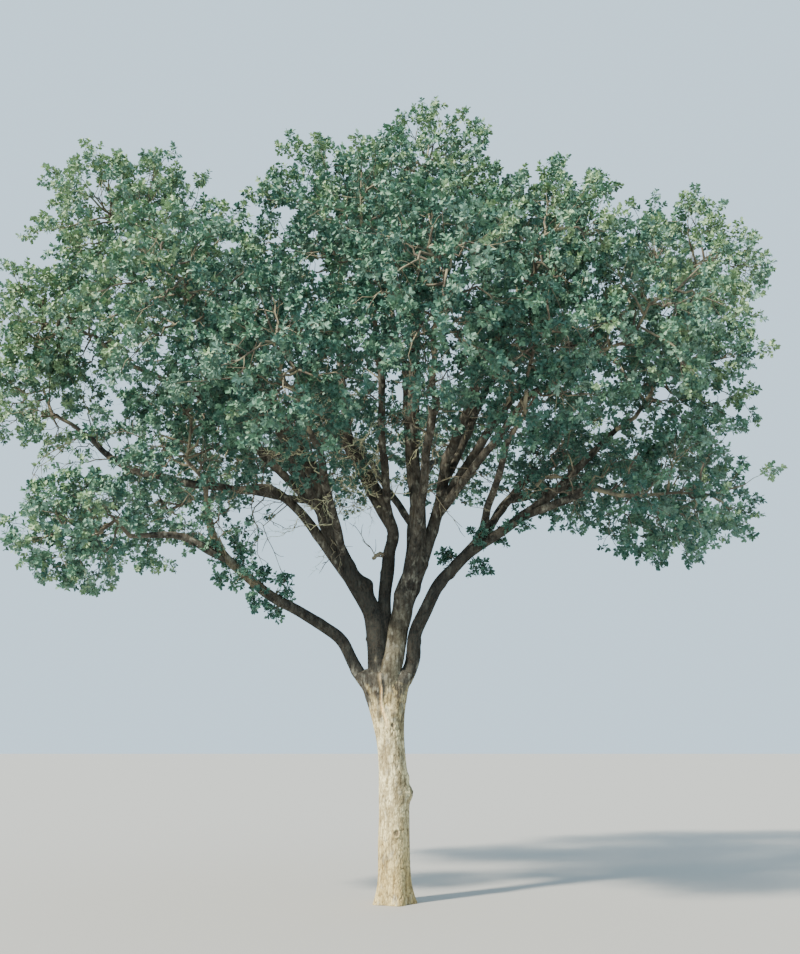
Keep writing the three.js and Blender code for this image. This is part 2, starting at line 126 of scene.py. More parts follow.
# Trunk. One stem, 0.72 m through at breast height, with five low root flares at its foot and four
# burls on its side. It leans left as it rises and broadens into the fork. The bark is thin pale
# plates between fine upright fissures, with a long open seam under the fork and healed knots.
TRUNK_RINGS = np.array([
    # height, axis x, axis y, half width, half depth
    [0.00, 0.000, 0.000, 0.455, 0.455],
    [0.16, 0.000, 0.000, 0.425, 0.425],
    [0.38, 0.000, 0.000, 0.392, 0.392],
    [0.75, 0.000, 0.000, 0.372, 0.372],
    [1.40, -0.003, 0.002, 0.362, 0.362],
    [2.05, -0.005, 0.010, 0.355, 0.355],
    [2.35, -0.008, 0.010, 0.352, 0.352],
    [2.65, -0.015, 0.010, 0.346, 0.346],
    [3.10, -0.048, 0.010, 0.334, 0.334],
    [3.55, -0.090, 0.008, 0.334, 0.332],
    [3.95, -0.140, 0.005, 0.375, 0.345],
    [4.30, -0.180, 0.000, 0.440, 0.355],
    [4.60, -0.205, 0.000, 0.510, 0.345],
    [4.88, -0.195, 0.000, 0.520, 0.312],
    [5.05, -0.175, 0.000, 0.440, 0.270],
    [5.20, -0.150, 0.000, 0.330, 0.205],
    [5.32, -0.145, 0.000, 0.220, 0.140],
    [5.40, -0.145, 0.000, 0.115, 0.075],
])
STEM_RADIUS = TRUNK_RINGS[4, 3]  # at breast height
ROOT_FLARES = 5
ROOT_FLARE_DEPTH = 0.13
ROOT_FLARE_SPREAD = 0.4
ROOT_FLARE_HEIGHT = 0.42
ROOT_FLARE_TURN = 0.35
BURLS = [
    # bearing in degrees from +X, height, how far it stands out, half its width
    (-12, 2.38, 0.105, 0.19),
    (-58, 4.23, 0.085, 0.17),
    (-40, 4.56, 0.070, 0.19),
    (-14, 2.74, 0.045, 0.11),
]
BURL_LUMPS = 0.35  # share of a burl's height that its lumps take
LUMP_CELLS = ((44, 18, 44), (90, 36, 90))  # cells round, in a metre up, and before they repeat
KNOTS = [
    # bearing in degrees, height, radius of the healed ring
    (-80, 1.52, 0.072),
    (-74, 3.90, 0.062),
]
# Dark marks on the trunk. Some are moss and dark patches of the bark itself. Others are painted
# shade: the long streaks down the right side (bearings -4 to -10) and the left edge (178), the spots
# under the burls (partly moss), and the wide patch on the upper right below the fork (-50).
STAINS_AND_SHADE = [
    # bearing in degrees, height, half width, half height, how dark
    (-40, 4.76, 0.19, 0.26, 0.90),
    (-50, 4.44, 0.22, 0.30, 0.50),
    (-34, 3.92, 0.12, 0.42, 0.42),
    (-118, 4.86, 0.22, 0.24, 0.90),
    (-66, 4.12, 0.09, 0.10, 0.55),
    (-46, 4.39, 0.13, 0.07, 0.65),
    (-54, 4.03, 0.13, 0.06, 0.60),
    (-146, 4.55, 0.11, 0.26, 0.55),
    (-24, 4.15, 0.10, 0.30, 0.72),
    (-4, 2.00, 0.08, 1.70, 0.40),
    (-16, 2.42, 0.11, 0.15, 0.60),
    (-10, 2.85, 0.09, 0.28, 0.45),
    (-122, 4.20, 0.07, 0.32, 0.65),
    (-8, 1.20, 0.09, 0.80, 0.35),
    (178, 2.10, 0.05, 1.60, 0.35),
    (-6, 3.45, 0.09, 0.35, 0.45),
    (-60, 2.55, 0.26, 0.20, 0.30),
    (-46, 3.30, 0.14, 0.50, 0.30),
]
STAIN_AND_SHADE_CELLS = 9  # cells of their ragged edge in a radian round, and in a metre up
STAIN_AND_SHADE_RAGGED = 0.7
STAIN_AND_SHADE_EDGE = (0.25, 0.75)  # values of a mark's bell between which it darkens
KNOT_RIM = (0.018, 3.0)  # how far it stands out, and how sharply
KNOT_PIT = (0.014, 1.6)  # how deep it is, and how sharply it sinks
KNOT_OVAL = 0.8  # width over height
KNOT_MIDDLE = (0.55, 0.95)  # shares of the radius between which its dark wood ends
SEAM_ENDS = (3.75, 5.05)  # lowest and highest point
SEAM_BEARINGS = (-100, -117)  # degrees, at those points
SEAM_WIDTH = 0.038
SEAM_DEPTH = 0.050
SEAM_SWAY = (0.03, 9)  # how far sideways, and radians in a metre up
SEAM_OPENS = (0, 0.3)  # shares of its length
SEAM_CLOSES = (0.9, 1.1)
SEAM_LIPS = (0.5, 2.2, 0.9)  # height over the seam's depth, and place and width in seam widths
SEAM_EVENNESS = 1.5  # what the lumps along it are divided by
TRUNK_GRID = (365, 225)  # rings and sides
FORK_LIMBS = [
    # a bough's foot: height, x and y there, height, x and y further up, and its radius cut level
    (4.54, -0.20, 0.00, 5.45, -0.43, -0.06, 0.295),
    (4.64, -0.20, 0.00, 5.70, 0.04, 0.02, 0.315),
    (4.43, -0.19, 0.00, 5.20, 0.33, -0.02, 0.245),
    (4.32, -0.18, 0.00, 5.02, -0.74, -0.06, 0.235),
]
FORK_BLEND = 12  # the higher, the sharper the grooves between the feet
FORK_SWELLS = (-0.9, 0.1)  # shares of the way up between which a foot swells to its radius
FORK_SINKS = (5.05, 5.40)  # over these heights the stem draws in under the boughs
FORK_SINKS_BY = 0.9
PLATES_ROUND = 38
PLATE_HEIGHT = 0.20
PLATE_WANDER = 0.5
WANDER_CELLS = (6, 0.7)  # cells round the stem, and in a plate's height
PLATE_CENTRES = (0.1, 0.9)  # shares of its cell between which a plate's centre lies
FINE_PLATES = (2, 2.3)  # how many go across a coarse plate, and up it
FISSURE_WIDTH = 0.26  # share of a plate
FISSURE_DEPTH = 0.015
FISSURES_OPEN = (0.25, 1)  # shares of the coarse fissures' depth that show, least and most
OPEN_CELLS = (9, 0.9)
TRUNK_HOLLOWS = 0.022  # slow swells and hollows of the whole stem
HOLLOW_CELLS = (5, 1.6)  # cells round the trunk and a metre up
FISSURE_SHOWS = 0.8  # strength of the dark colour in a fissure
SEAM_SHOWS = 0.9
KNOT_SHOWS = 0.8


def smooth_rows(rows, height):
    """The rows' other columns at each height: a cubic between two rows, whose slope at a row comes
    from the rows on both sides of it."""
    known = rows[:, 0]
    slopes = np.gradient(rows[:, 1:], known, axis=0)
    low = np.clip(np.searchsorted(known, height, side="right") - 1, 0, len(rows) - 2)
    gap = (known[low + 1] - known[low])[..., None]
    share = (height - known[low])[..., None] / gap
    rest = 1 - share
    start = rows[low, 1:] * (1 + 2 * share) + slopes[low] * gap * share
    end = rows[low + 1, 1:] * (1 + 2 * rest) - slopes[low + 1] * gap * rest
    return start * rest**2 + end * share**2


def part_way(ends, share):
    """The value at a share of the way from the first end to the second."""
    return ends[0] + (ends[1] - ends[0]) * share


def step_up(value, low, high):
    """0 below low, 1 above high, and a smooth S between them."""
    share = np.clip((value - low) / (high - low), 0, 1)
    return share * share * (3 - 2 * share)


def within(value, rise, fall):
    """1 between a rise and a fall, and 0 outside them, each a smooth S over its pair of values."""
    return step_up(value, *rise) * (1 - step_up(value, *fall))


def bell(*offs):
    """1 in the middle and falling to 0: the exponential of minus the squares of the distances."""
    return np.exp(-sum(off * off for off in offs))


def draw(seed, k):
    """A repeatable draw from 0 to 1: the fraction of a large multiple of a sine."""
    return np.modf(np.abs(np.sin(seed * 12.9898 + k * 78.233) * 43758.5453))[0]


def cell_key(column, row, columns):
    """A number for each cell of a lattice that repeats after so many columns."""
    return column % columns + 157.0 * row


def soft_noise(across, up, seed, columns):
    """Smooth noise from 0 to 1: a draw at each corner of a square lattice, blended over the square
    by smooth shares. The lattice repeats after so many columns."""
    column, row = np.floor(across), np.floor(up)
    right, above = step_up(across - column, 0, 1), step_up(up - row, 0, 1)
    low, high = (
        part_way([draw(seed, cell_key(column + dx, row + dy, columns)) for dx in (0, 1)], right)
        for dy in (0, 1))
    return part_way((low, high), above)


def noise_round(turn, up, cells, seed):
    """Smooth noise on a stem, where turn is a share of the way round: cells are how many go round
    it, and how many go in a unit of height."""
    return soft_noise(turn * cells[0], up * cells[1], seed, cells[0])


def rough_noise(across, up, seed, scales):
    """Smooth noise about nought, and a finer one half as strong: a scale is the cells in a unit
    across and up, and the columns after which they repeat."""
    coarse, fine = (
        soft_noise(across * wide, up * high, seed + number, columns)
        for number, (wide, high, columns) in enumerate(scales))
    return coarse + fine / 2 - 0.75


def plate_edges(across, up, seed, columns):
    """How far inside its bark plate a point lies, 0 on a fissure: each square of a lattice holds
    one shaken plate centre, and this is how much further the second nearest is than the nearest."""
    column, row = np.floor(across), np.floor(up)
    nearest = np.full(np.shape(across), 9.0)  # further than any centre can be
    second = nearest.copy()
    for dx in (-1, 0, 1):
        for dy in (-1, 0, 1):
            key = cell_key(column + dx, row + dy, columns)
            off_x = column + dx + part_way(PLATE_CENTRES, draw(seed, key)) - across
            off_y = row + dy + part_way(PLATE_CENTRES, draw(seed + 5, key)) - up
            distance = np.hypot(off_x, off_y)
            second = np.minimum(second, np.maximum(nearest, distance))
            nearest = np.minimum(nearest, distance)
    return second - nearest


def bark_fissures(turn, along, seed, plates_round):
    """How deep a point lies in the fissures, 0 to 1: coarse plates and finer ones within them, on a
    lattice that slow noise shakes, so that the fissures wander. turn is a share of the way round,
    and along counts plate heights."""
    shake = PLATE_WANDER * (noise_round(turn, along, WANDER_CELLS, seed) - 0.5)
    across = turn * plates_round + 2 * shake
    coarse = plate_edges(across, along + shake, seed, plates_round)
    more, higher = FINE_PLATES
    fine = plate_edges(more * across, higher * along, seed + 1, more * plates_round)
    open_share = part_way(FISSURES_OPEN, noise_round(turn, along, OPEN_CELLS, seed + 2))
    deep = (1 - step_up(coarse, 0.0, FISSURE_WIDTH)) * open_share
    shallow = (1 - step_up(fine, 0.0, FISSURE_WIDTH)) * (1 - open_share)
    return np.maximum(deep, shallow)


def closed_tube(grid):
    """Points and faces of a tube: a grid of rings by sides, each ring joined to the next, and both
    ends closed by a fan about their middle."""
    rings, sides = grid.shape[:2]
    ring = np.arange(rings * sides).reshape(rings, sides)
    beside = np.roll(ring, -1, axis=1)
    walls = np.stack([ring[:-1], beside[:-1], beside[1:], ring[1:]], axis=-1).reshape(-1, 4)
    foot = np.stack([beside[0], ring[0], np.full(sides, ring.size)], axis=-1)
    top = np.stack([ring[-1], beside[-1], np.full(sides, ring.size + 1)], axis=-1)
    points = np.vstack([grid.reshape(-1, 3), grid[0].mean(axis=0), grid[-1].mean(axis=0)])
    return points, walls, np.vstack([foot, top])


def give_values(mesh, **layers):
    """Stores one number a point under each name, for the material to read."""
    for name, values in layers.items():
        layer = mesh.attributes.new(name, "FLOAT", "POINT")
        layer.data.foreach_set("value", np.ascontiguousarray(values, dtype=np.float32))


def bearing_gap(bearing, degrees):
    """The angle from a bearing in degrees to another, wrapped to a half turn each way."""
    turn = bearing - np.radians(degrees)
    return np.arctan2(np.sin(turn), np.cos(turn))


def fork_reach(bearing, height, axis_x, axis_y):
    """How far the boughs' feet reach from the trunk's axis, one table for each: the far root of the
    quadratic for a circle round the foot's own leaning axis, and nothing below the foot."""
    reaches = []
    for low, low_x, low_y, high, high_x, high_y, radius in FORK_LIMBS:
        share = (height - low) / (high - low)
        off_x = part_way((low_x, high_x), np.maximum(0, share)) - axis_x
        off_y = part_way((low_y, high_y), np.maximum(0, share)) - axis_y
        size = radius * step_up(share, *FORK_SWELLS)
        towards = off_x * np.cos(bearing) + off_y * np.sin(bearing)
        inside = size**2 - off_x**2 - off_y**2 + towards**2
        reach = np.maximum(0, towards + np.sqrt(np.maximum(0, inside))) * (inside > 0)
        reaches.append(reach * (1 - FORK_SINKS_BY * step_up(height, *FORK_SINKS)))
    return reaches


def trunk_surface(bearing, height):
    """Points of the trunk, and how far each lies in a fissure, in the seam or on a knot.

    An ellipse round the leaning axis, run together with the feet of the boughs by the root of their
    summed powers, swollen at the foot by a cosine of five flares that dies out upwards, and out by
    a bell for each burl. Fissures, the seam and the pits of the knots are cut into it, and the rims
    of the knots stand out."""
    axis_x, axis_y, half_width, half_depth = np.moveaxis(smooth_rows(TRUNK_RINGS, height), -1, 0)
    turn = bearing / (2 * np.pi)
    flares = ROOT_FLARE_SPREAD + np.cos(ROOT_FLARES * bearing + ROOT_FLARE_TURN)
    flare = ROOT_FLARE_DEPTH * np.exp(-height / ROOT_FLARE_HEIGHT) * flares
    lumps = rough_noise(turn, height, 21, LUMP_CELLS)
    proud = TRUNK_HOLLOWS * (noise_round(turn, height, HOLLOW_CELLS, 23) - 0.5)
    for degrees, level, stands_out, spread in BURLS:
        across = bearing_gap(bearing, degrees) * half_width
        burl = bell(across / spread, (height - level) / spread)
        proud += stands_out * burl * (1 + BURL_LUMPS * lumps)
    fissure = bark_fissures(turn, height / PLATE_HEIGHT, 3, PLATES_ROUND)
    proud -= FISSURE_DEPTH * fissure
    knot = np.zeros_like(height)
    for degrees, level, radius in KNOTS:
        across = bearing_gap(bearing, degrees) * half_width
        off = np.hypot(across, (height - level) * KNOT_OVAL) / radius
        proud += KNOT_RIM[0] * bell((off - 1) * KNOT_RIM[1]) - KNOT_PIT[0] * bell(off * KNOT_PIT[1])
        knot = np.maximum(knot, 1 - step_up(off, *KNOT_MIDDLE))
    up_seam = (height - SEAM_ENDS[0]) / (SEAM_ENDS[1] - SEAM_ENDS[0])
    sway = SEAM_SWAY[0] * np.sin(SEAM_SWAY[1] * height)
    across = bearing_gap(bearing, part_way(SEAM_BEARINGS, up_seam)) * half_width
    off = (across + sway) / SEAM_WIDTH
    parted = within(up_seam, SEAM_OPENS, SEAM_CLOSES) * (1 + lumps / SEAM_EVENNESS)
    seam = parted * bell(off)
    lips = parted * bell((np.abs(off) - SEAM_LIPS[1]) / SEAM_LIPS[2])
    proud += SEAM_DEPTH * (SEAM_LIPS[0] * lips - seam)
    ahead, aside = np.cos(bearing), np.sin(bearing)
    oval = half_width * half_depth / np.hypot(half_depth * ahead, half_width * aside)
    reaches = [oval, *fork_reach(bearing, height, axis_x, axis_y)]
    out = sum(reach**FORK_BLEND for reach in reaches) ** (1 / FORK_BLEND) * (1 + flare) + proud
    return np.stack([axis_x + out * ahead, axis_y + out * aside, height], -1), fissure, seam, knot


def new_node(tree, kind, **settings):
    """A shader node with some of its settings and inputs."""
    node = tree.nodes.new(kind)
    for name, value in settings.items():
        if hasattr(node, name):
            setattr(node, name, value)
        else:
            node.inputs[name.replace("_", " ").title()].default_value = value
    return node


def noise(tree, scale, detail=4.0, upright=1.0):
    """Noise over the object's own coordinates, with height counted at a share of its true size."""
    place = tree.nodes.new("ShaderNodeTexCoord")
    mapping = tree.nodes.new("ShaderNodeMapping")
    mapping.inputs["Scale"].default_value = (1, 1, upright)
    cloud = new_node(tree, "ShaderNodeTexNoise", scale=scale, detail=detail)
    tree.links.new(place.outputs["Object"], mapping.inputs["Vector"])
    tree.links.new(mapping.outputs["Vector"], cloud.inputs["Vector"])
    return cloud.outputs["Fac"]


def ranged(tree, value, low, high, most=1.0):
    """The value carried from low and high to 0 and the most, and held to those ends."""
    node = tree.nodes.new("ShaderNodeMapRange")
    for socket, number in zip(node.inputs[1:5], (low, high, 0.0, most)):
        socket.default_value = number
    tree.links.new(value, node.inputs["Value"])
    return node.outputs["Result"]


def laid_over(tree, factor, under, over, blend="MIX"):
    """One colour over another by a factor: each colour is a socket or a plain colour."""
    node = new_node(tree, "ShaderNodeMix", data_type="RGBA", blend_type=blend)
    tree.links.new(factor, node.inputs["Factor"])
    for socket, colour in ((node.inputs[6], under), (node.inputs[7], over)):
        if isinstance(colour, tuple):
            socket.default_value = colour
        else:
            tree.links.new(colour, socket)
    return node.outputs[2]


PALE_BARK = ((1.0, 0.90, 0.54, 1), (0.50, 0.42, 0.24, 1))  # plates, and where they weather
# Dark bark of the boughs in two shades, made darker than the bark itself to paint in the crown's
# shade.
DARK_BARK_AND_SHADE = ((0.110, 0.106, 0.090, 1), (0.034, 0.036, 0.034, 1))
EARTHY_BARK = (0.59, 0.44, 0.18, 1)
FISSURE_COLOUR = (0.075, 0.06, 0.047, 1)
BARK_NOISES = {
    # name: scale, detail, share of the true height, range, strength
    "patches": (5.5, 8.0, 0.55, 0.42, 0.60, 1.0),
    "grain": (21.0, 6.0, 0.70, 0.46, 0.66, 0.75),
    "lichen": (7.5, 9.0, 0.50, 0.56, 0.68, 0.45),
    "broad streaks": (17.0, 5.0, 0.16, 0.48, 0.62, 0.6),
    "fine streaks": (55.0, 6.0, 0.20, 0.50, 0.72, 0.5),
}
PAINTED_CROWN_SHADE_RANGE = (1.0, 1.5, 0.85)  # measures of darkness between which the crown's painted shade turns near black, and how strongly
BARK_COATS = [
    # in the order of laying: what it goes by, colour, how it mixes
    ("grain", (0.50, 0.47, 0.42, 1), "MULTIPLY"),
    ("lichen", (0.50, 0.50, 0.41, 1), "MIX"),
    # painted shade of the crown, near black, on the lower limbs
    ("painted crown shade", (0.020, 0.024, 0.023, 1), "MIX"),
    ("broad streaks", (0.26, 0.23, 0.22, 1), "MULTIPLY"),
    ("fine streaks", FISSURE_COLOUR, "MIX"),
    ("fissure", FISSURE_COLOUR, "MIX"),
    ("bare", (0.88, 0.68, 0.40, 1), "MIX"),
    ("knot", (0.085, 0.06, 0.045, 1), "MIX"),
]
BARK_GLOSS = 0.12
DARKENS = (4.05, 5.00)  # the heights at which the bark begins to darken and where it is dark: darker bough bark, and painted shade of the crown over the fork
DARK_MOTTLE = 1.5  # how far up and down patches of it run
MOTTLE_CELLS = ((5, 2, 400), (12, 5, 900))  # in a metre across and up, and where they repeat
LATTICE_SHIFT = 60  # keeps every place on a lattice above nought
PALE_UNDER_CENTRE = (-0.10, 0.16, 0.40)  # place in x, width, and how much higher it darkens there
DARK_SHOULDERS = (4.84, 5.00)  # heights at which the feet of the boughs turn dark: darker bark, and painted shade of the crown
SHOULDER_MOTTLE = (0.25, 14, 9)  # how far down it runs, and its cells in a metre across and up
SHOULDER_PALER = 0.11  # how much less dark the shoulder under the centre bough is
EARTHY_UP_TO = (0.6, 2.4)  # the heights over which the earth's tan fades out
EARTHY_AGAIN = (3.5, 4.5)  # and those over which it comes back under the fork
EARTHINESS = (0.72, 0.34)  # its strength at the foot and under the fork


def bark_material(name):
    """Bark that darkens by the mesh's own measure of darker bark and painted shade: two shades of
    pale plate and two of dark in slow patches, tan earth over the pale ones, and the coats, by noise
    or by a layer of the mesh, one of them the near-black painted shade of the crown. Its bump is the
    fine streaks."""
    material, tree, inputs = new_material(name, roughness=0.93)
    inputs["Specular IOR Level"].default_value = BARK_GLOSS
    clouds = {kind: noise(tree, *row[:3]) for kind, row in BARK_NOISES.items()}
    by = {kind: ranged(tree, clouds[kind], *row[3:]) for kind, row in BARK_NOISES.items()}
    for layer in ("dark", "earthy", "fissure", "bare", "knot"):
        by[layer] = new_node(tree, "ShaderNodeAttribute", attribute_name=layer).outputs["Fac"]
    # Where the darkness runs over 1, the crown's shade is painted near black.
    by["painted crown shade"] = ranged(tree, by["dark"], *PAINTED_CROWN_SHADE_RANGE)
    pale = laid_over(tree, by["patches"], *PALE_BARK)
    dark = laid_over(tree, by["patches"], *DARK_BARK_AND_SHADE)
    pale = laid_over(tree, by["earthy"], pale, EARTHY_BARK)
    colour = laid_over(tree, by["dark"], pale, dark)
    for kind, coat, blend in BARK_COATS:
        colour = laid_over(tree, by[kind], colour, coat, blend)
    bump = new_node(tree, "ShaderNodeBump", strength=0.8, distance=0.010)
    tree.links.new(clouds["fine streaks"], bump.inputs["Height"])
    tree.links.new(bump.outputs["Normal"], inputs["Normal"])
    tree.links.new(colour, inputs["Base Color"])
    return material


def darkening(points, heights):
    """How dark the bark is at each point, partly its own darker colour and partly painted shade of
    the
    crown: a smooth step between two heights, moved up and down in upright patches a fifth and a
    twelfth of a metre wide."""
    x, z = points[..., 0] - points[..., 1] + LATTICE_SHIFT, points[..., 2]
    return step_up(z + DARK_MOTTLE * rough_noise(x, z, 71, MOTTLE_CELLS), *heights)


def wood_piece(name, slot, material, points, *faces):
    """A piece with smooth shading that rides on the root body, with its material. The slot is not
    used.
    """
    piece = piece_of(mesh_of(name, points, *faces), material)
    piece.data.shade_smooth()
    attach(piece, "root")
    return piece


ring_heights = np.linspace(0, TRUNK_RINGS[-1, 0], TRUNK_GRID[0])
side_bearings = np.linspace(-np.pi, np.pi, TRUNK_GRID[1], endpoint=False)
trunk_grid, *trunk_layers = trunk_surface(*np.meshgrid(side_bearings, ring_heights))
points, walls, ends = closed_tube(trunk_grid)
fissure, seam, knot = (np.append(layer.ravel(), [0, 0]) for layer in trunk_layers)
x, z = points[:, 0], points[:, 2]
# The trunk's darkness: darker bark and painted shade of the crown over the fork, with the marks of
# the table of stains and painted shade.
under_centre = bell((x - PALE_UNDER_CENTRE[0]) / PALE_UNDER_CENTRE[1])
lowered = points - PALE_UNDER_CENTRE[2] * under_centre[:, None] * [0, 0, 1]
run_down, wide, high = SHOULDER_MOTTLE
mottled = z + run_down * soft_noise(x * wide + LATTICE_SHIFT, z * high, 74, 900)
shoulders = (1 - SHOULDER_PALER * under_centre) * step_up(mottled, *DARK_SHOULDERS)
darkness = np.maximum(darkening(lowered, DARKENS), shoulders)
bearings = np.append(np.tile(side_bearings, TRUNK_GRID[0]), [0, 0])
ragged = soft_noise(bearings * STAIN_AND_SHADE_CELLS + LATTICE_SHIFT, z * STAIN_AND_SHADE_CELLS, 73, 900) - 0.5
# Each stain or painted shade darkens the bark inside its ragged bell.
for degrees, level, half_width, half_height, how_dark in STAINS_AND_SHADE:
    across = bearing_gap(bearings, degrees) * STEM_RADIUS / half_width
    spot = bell(across, (z - level) / half_height) + STAIN_AND_SHADE_RAGGED * ragged
    darkness = np.maximum(darkness, how_dark * step_up(spot, *STAIN_AND_SHADE_EDGE))
earthy = EARTHINESS[0] * (1 - step_up(z, *EARTHY_UP_TO)) + EARTHINESS[1] * step_up(z, *EARTHY_AGAIN)
trunk = wood_piece("trunk_stem", "trunk_bark", bark_material("trunk bark"), points, walls, ends)
give_values(
    trunk.data, fissure=FISSURE_SHOWS * fissure, bare=SEAM_SHOWS * seam, knot=KNOT_SHOWS * knot,
    dark=darkness, earthy=earthy)
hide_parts("trunk")

# Boughs. Every bough is one tapering limb that springs from the trunk or from another bough with a
# swollen collar, passes through its bends and runs out to the foot of its own mass of foliage. They
# are knobbly, and their bark is closer than the trunk's, with pale grey lichen. It is darker too,
# partly its own darker colour and partly painted shade of the crown, near black on the lower limbs.
GOLDEN_ANGLE = np.pi * (3 - np.sqrt(5))
UP = np.array([0.0, 0.0, 1.0])
TIP_RADIUS = 0.062
COLLAR = 0.24
COLLAR_LENGTH = 0.45
TAPER = 0.62
ARCH_AT = 0.45
ARCH_RISE = 0.09
CROOK = 0.009
CROOK_WAVES = (2.1, 1.6)
BOUGH_ENTERS = 0.86
LIMB_PLAN = {
    # name: (springs from, share along it, girth, bends, centre of its mass, half width and height)
    "centre": (
        "trunk", 0.86, 0.60,
        [(0.02, -0.06, 5.7), (0.20, -0.05, 6.9), (0.6, 0.03, 8.5), (0.45, -0.06, 10.8),
         (0.56, -0.35, 14.0)],
        (0.8, -1.3, 17.3), (3.10, 2.35), "dense"),
    "left": (
        "trunk", 0.84, 0.56,
        [(-0.45, 0.02, 5.45), (-0.62, -0.02, 6.65), (-1.45, -0.25, 8.5), (-2.15, -0.45, 10.2),
         (-4.3, -0.9, 13.4)],
        (-6.75, -1.5, 16.05), (2.95, 2.35), "packed"),
    "right": (
        "trunk", 0.82, 0.39,
        [(0.33, -0.02, 5.2), (0.51, -0.06, 6.15), (1.25, -0.2, 7.35), (2.15, -0.4, 8.2),
         (3.8, -0.7, 9.4)],
        (6.95, -1.3, 12.35), (2.60, 2.10), "full"),
    "low_left": (
        "trunk", 0.80, 0.34,
        [(-0.74, -0.06, 5.02), (-1.35, -0.25, 5.98), (-3.0, -0.8, 6.85), (-4.15, -1.3, 8.0)],
        (-4.9, -2.0, 10.6), (2.54, 1.78), "light"),
    "centre_left": (
        "left", 0.10, 0.36,
        [(-0.23, 0.02, 7.3), (-0.06, 0.06, 8.6), (-0.4, 0.0, 9.7), (-1.25, -0.25, 11.4)],
        (-1.7, -1.6, 16.35), (2.75, 2.25), "full"),
    "centre_right": (
        "centre", 0.24, 0.35, [(1.2, 0.0, 9.6), (1.6, -0.15, 11.2)],
        (3.5, -1.7, 15.75), (2.85, 2.35), "full"),
    "low_left_side": (
        "low_left", 0.74, 0.19, [(-5.0, -1.6, 8.15)], (-7.05, -2.4, 8.1), (1.70, 1.40), "light"),
    "left_out": (
        "left", 0.33, 0.25, [(-2.7, -0.1, 9.45), (-4.5, 0.15, 9.75), (-7.0, 0.3, 10.5)],
        (-9.5, 0.3, 12.3), (2.30, 1.50), "sparse"),
    "left_high": ("left", 0.56, 0.22, [], (-8.5, -0.6, 13.8), (2.60, 2.05), "dense"),
    "front_left": ("left", 0.50, 0.23, [], (-4.5, -4.3, 12.7), (3.00, 2.50), "dense"),
    "right_rising": (
        "right", 0.655, 0.24, [(2.28, -0.5, 8.95)], (2.9, -4.6, 11.2), (2.60, 2.00), "light"),
    "low_right": ("right", 0.76, 0.20, [], (6.25, -2.2, 9.15), (2.65, 1.78), "light"),
    "inner_right": ("right", 0.58, 0.17, [], (4.5, 1.2, 10.6), (1.94, 1.40), "thin"),
    "right_high": (
        "centre_right", 0.30, 0.24, [(3.6, -0.5, 12.7)], (7.2, -1.2, 14.95), (2.70, 2.32), "full"),
    "front_right": ("centre_right", 0.26, 0.22, [], (5.3, -4.2, 12.5), (2.80, 2.30), "light"),
    "front": ("centre", 0.34, 0.24, [(0.9, -2.1, 10.7)], (0.8, -5.9, 12.15), (2.85, 2.25), "dense"),
    "front_low_left": ("left", 0.45, 0.21, [], (-2.2, -5.3, 10.9), (2.50, 1.95), "full"),
    "upper_front": ("centre_left", 0.50, 0.20, [], (-0.6, -4.0, 14.5), (2.70, 2.15), "light"),
    "upper_front_right": ("centre_right", 0.45, 0.19, [], (3.3, -4.3, 13.8), (2.45, 1.95), "light"),
    "back_top": ("centre", 0.58, 0.22, [], (-0.3, 2.7, 17.2), (2.70, 2.21), "light"),
    "back_upper_left": ("centre_left", 0.40, 0.23, [], (-4.5, 2.5, 15.9), (2.90, 2.40), "full"),
    "back_upper_right": ("centre_right", 0.36, 0.22, [], (4.4, 2.7, 15.7), (2.90, 2.40), "light"),
    "back": ("centre", 0.30, 0.27, [(0.7, 2.3, 10.5)], (2.0, 7.0, 13.3), (2.75, 2.21), "light"),
    "back_left": ("left", 0.36, 0.27, [(-2.7, 1.7, 10.7)], (-5.3, 5.2, 12.9), (2.75, 2.21), "light"),
    "back_right": ("right", 0.50, 0.25, [(3.7, 1.9, 10.5)], (5.7, 5.3, 12.7), (2.75, 2.21), "sparse"),
    "back_inner": ("back", 0.30, 0.20, [], (-2.3, 6.9, 13.3), (2.75, 2.21), "light"),
    "low_back_left": ("back_left", 0.35, 0.19, [], (-7.1, 3.7, 10.0), (2.38, 1.84), "sparse"),
    "low_back_right": ("back_right", 0.35, 0.19, [], (7.7, 2.9, 10.2), (2.38, 1.84), "sparse"),
}
MAIN_GIRTH = 0.26
BOUGH_GRID = {"main": (0.034, 0.026), "side": (0.055, 0.034)}  # ring spacing and side width
LEAST_RINGS = 16
LEAST_SIDES = 12
LEAST_PLATES = 5
BOUGH_PLATE = (0.065, 0.17)  # width and height of a plate of bark
BOUGH_FISSURE_DEPTH = 0.007
BOUGH_FISSURE_SHOWS = 0.65
BOUGH_HOLLOWS = 0.13  # share of the radius
BOUGH_HOLLOW_CELLS = (3, 1 / 0.55)  # cells round the bough and a metre along
FOOT_DRAWN_IN = 0.30  # share of the radius, where a limb starts inside the trunk
FOOT_LENGTH = 0.5
LUMP_SPACING = 1.1
LUMP_PROUD = (0.10, 0.34)  # shares of the radius
LUMP_SPREAD = 0.11
BIG_LUMPS = {
    # bough: share along it, share round it, height as a share of the radius, spread; the knob in
    # the left bough's bend, and the swelling below the fork of the centre one
    "left": (0.385, 0.75, 0.70, 0.20),
    "centre": (0.44, 0.38, 0.40, 0.24),
}
WIGGLE = 0.0022  # a finer crook, as a share of the limb's length
WIGGLE_WAVES = 6.5


def unit(vectors):
    """Vectors brought to length one."""
    return vectors / np.linalg.norm(vectors, axis=-1, keepdims=True)


def mass_reach(half, directions):
    """How far an ellipsoid of that half width and half height reaches from its centre."""
    wide, high = half
    flat = directions[..., 0] ** 2 + directions[..., 1] ** 2
    return 1 / np.sqrt(flat / wide**2 + directions[..., 2] ** 2 / high**2)


def trunk_axis(share):
    """The point of the trunk's axis at a share of its height."""
    height = share * TRUNK_RINGS[-1, 0]
    x, y = (np.interp(height, TRUNK_RINGS[:, 0], TRUNK_RINGS[:, column]) for column in (1, 2))
    return np.array([x, y, height])


